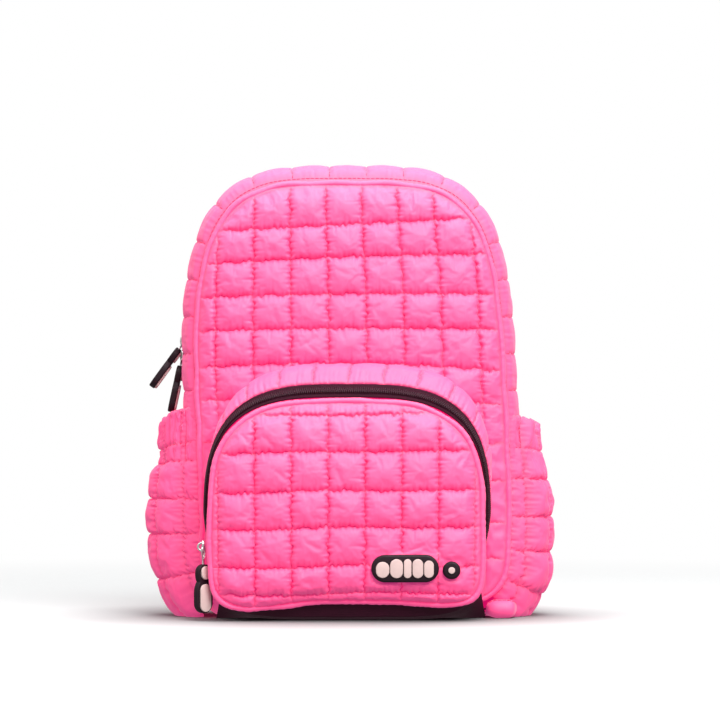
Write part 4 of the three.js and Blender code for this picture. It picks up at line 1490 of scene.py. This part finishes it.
# How far each pull has slipped towards its zip
DRAW_IN = {"": (2.4, 0, 1.5), "_upper": (3.6, 0, 0), "_lower": (2.0, 0, 0)}


def pull_outline():
    length, head, body, neck, neck_at = (
        PULL[part] for part in ("length", "head", "body", "neck", "neck_at")
    )
    half = np.concatenate(
        [
            curve((0, 0), (head * 0.6, 0), (head, -head * 0.45), (head, -head)),
            curve((head, -head), (head, -neck_at * 0.85), (neck, -neck_at), count=8),
            curve((neck, -neck_at), (body, -neck_at - 3), (body, -neck_at - 8), count=8),
            curve((body, -neck_at - 8), (body, -length + body), count=3),
        ]
    )
    turn = -np.pi * np.arange(20) / 19
    end = np.stack([body * np.cos(turn), -length + body + body * np.sin(turn)], -1)
    left = half[::-1][:-1] * (-1, 1)
    return np.concatenate([half, end, left])[::-1]


class BACKPACK_OT_pulls(BackpackOperator, bpy.types.Operator):
    """Makes the zip sliders, wire loops and rubber pulls"""

    bl_idname = "backpack.pulls"
    bl_label = "Pulls"

    def execute(self, context):
        for pull in PULLS:
            self.pull(*pull)
        return {"FINISHED"}

    def seat(self, zip_name, height):
        proud = COIL_RADIUS + CLEARANCE
        if zip_name == "main":
            coil = COIL_RADIUS + 2 * CLEARANCE - TAPE_RECESS
            s = np.array([1 - SEAM.right_at(height)])
            return gusset_point(s, np.array([BODY_DEPTH / 2]), np.array([coil + proud]))[0]
        s = np.array([1 - RINGS["tape_inner"].right_at(height)])
        inner, outer, _, out = tape_frame(s)
        return ((inner + outer) / 2 + out * (COIL_RADIUS + 4 * CLEARANCE + proud))[0]

    def pull(self, zip_name, place, height, loop_turn, tab_turn, swing, loop, face):
        seat = Matrix.Translation(Vector(self.seat(zip_name, height)))
        self.slider(f"{zip_name}_slider{place}", seat @ turned(-90, "Z"), BAIL_RISE[zip_name])
        hang = seat @ Matrix.Translation((-BAIL_HEIGHT, 0, -0.1))
        hang = hang @ Matrix.Translation(DRAW_IN[place])
        hang = hang @ turned(loop_turn, "Z") @ turned(-swing, "X")
        self.loop(f"{zip_name}_pull_loop{place}", loop, hang)
        tab = hang @ Matrix.Translation((0, 0, -loop - CLEARANCE))
        tab = tab @ turned(tab_turn - loop_turn, "Z")
        half = PULL["half"]
        proud = (-half - 1.2, -half + 0.4) if face < 0 else (half - 0.4, half + 1.2)
        head = pill(7.0, 8.8, 40) + (0, -PULL["head"])
        body = pill(8.6, 18.2, 48) + (0, -22.0)
        for part, bm, finish in (
            ("pull", slab(pull_outline(), -half, half, 1.7, tab, 5), "rubber"),
            ("pull_head_inlay", slab(head, *proud, 0.45, tab), "cream"),
            ("pull_body_inlay", slab(body, *proud, 0.45, tab), "cream"),
        ):
            add_hard(f"{zip_name}_{part}{place}", bm, finish)

    def wire(self, name, path, out, radius, matrix):
        """A bent wire; the matrix puts its path, and the way to its first side, in place."""
        path = np.array([matrix @ Vector(point) for point in path])
        out = np.broadcast_to(np.array(matrix.to_3x3() @ Vector(out)), path.shape)
        return tube(name, path, out, radius, 10)

    def loop(self, name, length, matrix):
        right = np.array(
            [(0, 0), (2.25, -1.4), (3, -0.38 * length), (0.8, -0.76 * length), (0.8, -length - 1)]
        )
        stops = np.concatenate([(right * (-1, 1))[::-1][:-1], right])
        t = np.linspace(0, len(stops) - 1, 60)
        path = smooth_curve(np.insert(stops, 1, 0, axis=1), t)
        add_piece(name, self.wire(name, path, (0, 1, 0), 0.6, matrix), "metal")

    def slider(self, name, matrix, rise):
        plate = to_mesh(slab(pill(6, 9, 40), -1.2, 0.35, 0.45, matrix), "plate")
        turn = np.linspace(-0.12, np.pi + 0.12, 24)
        arch = stack(0, -0.9 - rise * np.sin(turn), 2.6 * np.cos(turn))
        bail = self.wire("bail", arch, (1, 0, 0), 0.75, matrix)
        add_hard(name, join(plate, bail), "metal")


def smooth_curve(stops, t):
    """A smooth line through rows of stops at whole numbers."""
    low = np.clip(np.floor(t).astype(int), 0, len(stops) - 2)
    part = (t - low)[:, None]
    beyond = [[2 * stops[0] - stops[1]], stops, [2 * stops[-1] - stops[-2]]]
    p0, p1, p2, p3 = (np.concatenate(beyond)[low + k] for k in range(4))
    return 0.5 * (
        2 * p1 + (p2 - p0) * part + (2 * p0 - 5 * p1 + 4 * p2 - p3) * part**2
        + (3 * p1 - p0 - 3 * p2 + p3) * part**3
    )


# Plain cream blocks on the patch: side and upward shift, width and height
BADGE_BLOCKS = (
    (-14.6, -0.8, 8.8, 10.4), (-5.6, 0, 8.4, 12.4), (1.6, 0, 5.0, 12.4), (8.2, 0, 7.0, 12.4),
    (15.4, -0.4, 6.4, 11.2),
)


class BACKPACK_OT_patches(BackpackOperator, bpy.types.Operator):
    """Makes the rubber patch and the stud on the pocket"""

    bl_idname = "backpack.patches"
    bl_label = "Patch and stud"

    def execute(self, context):
        badge, stud = (place[:2] for place in PATCH_PLACES)
        self.patch("badge", badge, (44, 18), -47.7, -37.8, BADGE_BLOCKS)
        self.patch("stud", stud, (11.6, 11.6), -45.2, -36, ((0, 0, 4.4, 4.4),))
        return {"FINISHED"}

    def patch(self, name, place, extent, front, sunk, blocks):
        matrix = Matrix.Translation((place[0], 0, place[1]))
        add_hard(f"{name}_base", slab(pill(*extent, 72), front, sunk, 1.6, matrix, 5), "rubber")
        inlay = []
        for offset, rise, wide, tall in blocks:
            spot = matrix @ Matrix.Translation((offset, 0, rise))
            bm = slab(pill(wide, tall, 40), front - 1.1, front + 0.5, 0.5, spot, 4)
            inlay.append(to_mesh(bm, "block"))
        add_hard(f"{name}_inlay", join(*inlay), "cream")


# Carrying parts, right-hand side: x, y, z and width
STRAP_ROUTE = np.array(
    [
        (29, 85.2, 268, 38), (29, 87, 254, 42), (31, 101, 232, 46), (37, 110, 192, 46),
        (48, 109, 150, 42), (58, 102, 112, 34), (62, 98, 97, 27),
    ],
    float,
)
WEBBING_ROUTE = np.array(
    [
        (62.5, 100.2, 93, 20), (66, 97.2, 78, 20), (73, 89, 52, 20), (79, 81.6, 30, 20),
        (80.5, 81.3, 20, 20),
    ]
)
GRAB_ROUTE = np.array(
    [
        (-36, 81.9, 281, 15), (-27, 82.4, 282, 15), (-17, 94, 283, 15), (0, 102, 283, 15),
        (17, 94, 283, 15), (27, 82.4, 282, 15), (36, 81.9, 281, 15),
    ]
)


class BACKPACK_OT_straps(BackpackOperator, bpy.types.Operator):
    """Makes the shoulder straps, their webbing and locks, and the grab loop"""

    bl_idname = "backpack.straps"
    bl_label = "Straps"

    def execute(self, context):
        for side, sign in (("left", -1.0), ("right", 1.0)):
            flip = np.array([sign, 1, 1, 1])
            self.band(f"shoulder_strap_{side}", STRAP_ROUTE * flip, 9.0, (1, 0, 0), 190, True)
            self.band(f"strap_webbing_{side}", WEBBING_ROUTE * flip, 1.6, (1, 0, 0), 90, False)
            self.lock(f"ladder_lock_{side}", sign)
        self.band("grab_loop", GRAB_ROUTE, 2.6, (0, 0, 1), 120, False)
        return {"FINISHED"}

    def band(self, name, route, thickness, axis, steps, soft):
        t = np.linspace(0, len(route) - 1, steps + 1)
        path = smooth_curve(route[:, :3], t)
        width = np.interp(t, np.arange(len(route)), route[:, 3])
        ahead = unit(np.gradient(path, axis=0))
        across = square_to(ahead, np.array(axis, float))
        out = np.cross(ahead, across)
        sides, powers = (56, (0.55, 0.75)) if soft else (28, (0.3, 0.45))
        mesh, column, row = grid_mesh(name, steps, sides)
        turn = 2 * np.pi * row / sides
        wide, thick = (
            np.sign(part) * np.abs(part) ** power
            for part, power in zip((np.cos(turn), np.sin(turn)), powers)
        )
        walk = walk_along(path)
        far, walk = walk[-1], walk[column]
        aside, half, seam = wide * width[column] / 2, np.full(len(turn), thickness / 2), None
        if soft:
            from_line = quilt_cells(walk, lobe_lines(far))[0]
            folds = np.exp(-from_line / 4) * waves(221, 4.2, aside, 30 * np.sign(thick))
            edge = np.exp(-(((np.abs(wide) - 0.86) / 0.05) ** 2))
            end = swell(np.minimum(walk, far - walk), 5)
            half = half * (0.62 + 0.38 * swell(from_line, 9)) + 0.3 * folds
            half = half * (1 - 0.3 * edge) * (0.45 + 0.55 * end)
            # Painted shade: the seam mark darkens the cloth at the lobe lines and along the groove
            # near each edge
            seam = np.maximum(np.exp(-from_line / 1.3), 0.8 * edge)
        point = path[column] + across[column] * aside[:, None]
        shape_sheet(mesh, point + out[column] * (thick * half)[:, None], walk, aside, seam)
        finish, fill = ("quilted_nylon", STRAP_SOFTNESS) if soft else ("webbing", None)
        add_piece(name, close_mesh(mesh), finish, fill=fill)

    def lock(self, name, sign):
        x_stops = np.array([-13.5, -10.5, 10.5, 13.5])
        z_stops = np.array([-9.5, -6.0, -2.4, 2.4, 6.0, 9.5])
        bm = bmesh.new()
        bmesh.ops.create_grid(bm, x_segments=3, y_segments=5, size=0.5)
        for vert in bm.verts:
            column, row = round((vert.co.x + 0.5) * 3), round((vert.co.y + 0.5) * 5)
            vert.co = (x_stops[column], -1.7, z_stops[row])
        slots = [
            face for face in bm.faces
            if abs(face.calc_center_median().x) < 1 and 2.4 < abs(face.calc_center_median().z) < 6
        ]
        bmesh.ops.delete(bm, geom=slots, context="FACES_ONLY")
        thick_plate(bm, 3.4)
        sharp = [edge for edge in bm.edges if edge.is_manifold and edge.calc_face_angle(0) > 1]
        end = STRAP_ROUTE[-1]
        seat = Matrix.Translation((sign * (end[0] + 2.6), end[1] - 2.6, end[2] - 10))
        turn = Euler((math.radians(-15), math.radians(sign * -14), 0), "ZYX").to_matrix().to_4x4()
        add_hard(name, round_off(bm, sharp, 0.7, 3, seat @ turn), "plastic", 40)


class BACKPACK_OT_stage(BackpackOperator, bpy.types.Operator):
    """Sets up the pale floor, the soft light and the camera"""

    bl_idname = "backpack.stage"
    bl_label = "Stage"

    def execute(self, context):
        stage = context.scene.backpack_stage
        self.floor(tuple(context.scene.backpack_colours.floor))
        self.surround(stage.sky)
        middle = Vector((0, 0, 0.13))
        for name, place, power, width in (
            ("key", (0.5, -1.25, 1.3), stage.key, 1.4),
            ("top", (0.1, 0.0, 1.75), stage.top, 1.2),
            ("side", (-1.3, -0.7, 1.3), stage.side, 0.8),
        ):
            lamp = bpy.data.lights.new(name, "AREA")
            lamp.shape, lamp.size, lamp.energy = "DISK", width, power
            self.aim(lamp, Vector(place), middle - Vector(place))
        camera = bpy.data.cameras.new("camera")
        camera.lens, camera.sensor_width, camera.clip_end = stage.lens, 36, 60
        turn, rise = math.radians(stage.azimuth), math.radians(stage.elevation)
        aside, ahead = math.sin(turn) * math.cos(rise), math.cos(turn) * math.cos(rise)
        back = Vector((aside, -ahead, math.sin(rise)))
        place = Vector(stage.target) + back * stage.distance
        context.scene.camera = self.aim(camera, place, -back)
        context.scene.view_settings.view_transform = "Standard"
        return {"FINISHED"}

    def floor(self, colour):
        """A pale floor with a painted contact shadow that darkens it close to the bag, fading to
        white further off.
        """
        bm = bmesh.new()
        bmesh.ops.create_grid(bm, x_segments=24, y_segments=24, size=8)
        floor = add_object("studio_floor", to_mesh(bm, "studio_floor"))
        finish = Finish("floor")
        tone = finish.mix(finish.noise(3, 3), shade(colour, 0.99), shade(colour, 1.01))
        # Painted shadow: ambient occlusion darkens the floor colour close to the bag
        painted_shadow_ao = finish.node("AmbientOcclusion", distance=0.10).outputs["AO"]
        tone = finish.mix(finish.math("POWER", painted_shadow_ao, 1.8), shade(colour, 0.2), tone)
        finish.set(base_color=tone, roughness=0.8, specular_ior_level=0.2)
        away = finish.node("VectorMath", {"operation": "LENGTH"}, vector=finish.place)
        smooth = {"interpolation_type": "SMOOTHSTEP"}
        away = away.outputs["Value"]
        fade = finish.node("MapRange", smooth, value=away, from_min=0.28, from_max=1.0).outputs[0]
        near, white = finish.shader.outputs[0], finish.node("Emission", strength=1.0).outputs[0]
        blend = finish.node("MixShader", _0=fade, _1=near, _2=white).outputs[0]
        finish.feed(finish.tree.nodes["Material Output"].inputs["Surface"], blend)
        floor.data.materials.append(FINISHES["floor"])
        floor.visible_diffuse = floor.visible_glossy = False

    def surround(self, strength):
        """A white surround that is dimmer from below, and plain white to the camera."""
        world = bpy.context.scene.world = bpy.data.worlds.new("studio")
        world.use_nodes = True
        sky = Nodes(world.node_tree)
        way = sky.node("SeparateXYZ", _0=sky.node("TexCoord").outputs["Generated"]).outputs["Z"]
        dome = sky.node(
            "MapRange", {"interpolation_type": "SMOOTHSTEP"}, value=way, from_min=-0.5,
            from_max=0.6, to_min=0.5 * strength, to_max=strength,
        ).outputs[0]
        seen = sky.node("LightPath").outputs["Is Camera Ray"]
        bright = sky.node("MapRange", value=seen, to_min=dome).outputs[0]
        background = sky.tree.nodes["Background"]
        sky.feed(background.inputs["Color"], (1, 1, 1))
        sky.feed(background.inputs["Strength"], bright)

    def aim(self, data, place, way):
        """Puts a light or camera in its place, looking one way."""
        holder = bpy.data.objects.new(data.name, data)
        bpy.context.scene.collection.objects.link(holder)
        holder.location = place
        holder.rotation_euler = way.to_track_quat("-Z", "Y").to_euler()
        return holder


OPERATORS = (
    BACKPACK_OT_finishes,
    BACKPACK_OT_front_panel,
    BACKPACK_OT_gussets,
    BACKPACK_OT_pocket_panel,
    BACKPACK_OT_pocket_roll,
    BACKPACK_OT_side_pockets,
    BACKPACK_OT_back_panel,
    BACKPACK_OT_fill,
    BACKPACK_OT_stitches,
    BACKPACK_OT_piping,
    BACKPACK_OT_zips,
    BACKPACK_OT_base,
    BACKPACK_OT_pulls,
    BACKPACK_OT_patches,
    BACKPACK_OT_straps,
    BACKPACK_OT_stage,
)


class BACKPACK_PT_panel(bpy.types.Panel):
    """Lists the pieces of the backpack and their settings"""

    bl_idname = "BACKPACK_PT_panel"
    bl_label = "Backpack"
    bl_space_type = "VIEW_3D"
    bl_region_type = "UI"
    bl_category = "Backpack"

    def draw(self, context):
        layout = self.layout
        for operator in OPERATORS:
            layout.operator(operator.bl_idname)
        for group in SETTINGS:
            settings = getattr(context.scene, group)
            box = layout.box()
            for name in type(settings).__annotations__:
                box.prop(settings, name)


SETTINGS = {
    "backpack_sizes": BackpackSizes,
    "backpack_colours": BackpackColours,
    "backpack_stage": BackpackStage,
}
CLASSES = (*SETTINGS.values(), *OPERATORS, BACKPACK_PT_panel)


def register():
    for cls in CLASSES:
        bpy.utils.register_class(cls)
    for name, cls in SETTINGS.items():
        setattr(bpy.types.Scene, name, PointerProperty(type=cls))


def unregister():
    for name in SETTINGS:
        delattr(bpy.types.Scene, name)
    for cls in reversed(CLASSES):
        bpy.utils.unregister_class(cls)


def main():
    register()
    for operator in OPERATORS:
        group, name = operator.bl_idname.split(".")
        getattr(getattr(bpy.ops, group), name)()


if __name__ == "__main__":
    main()
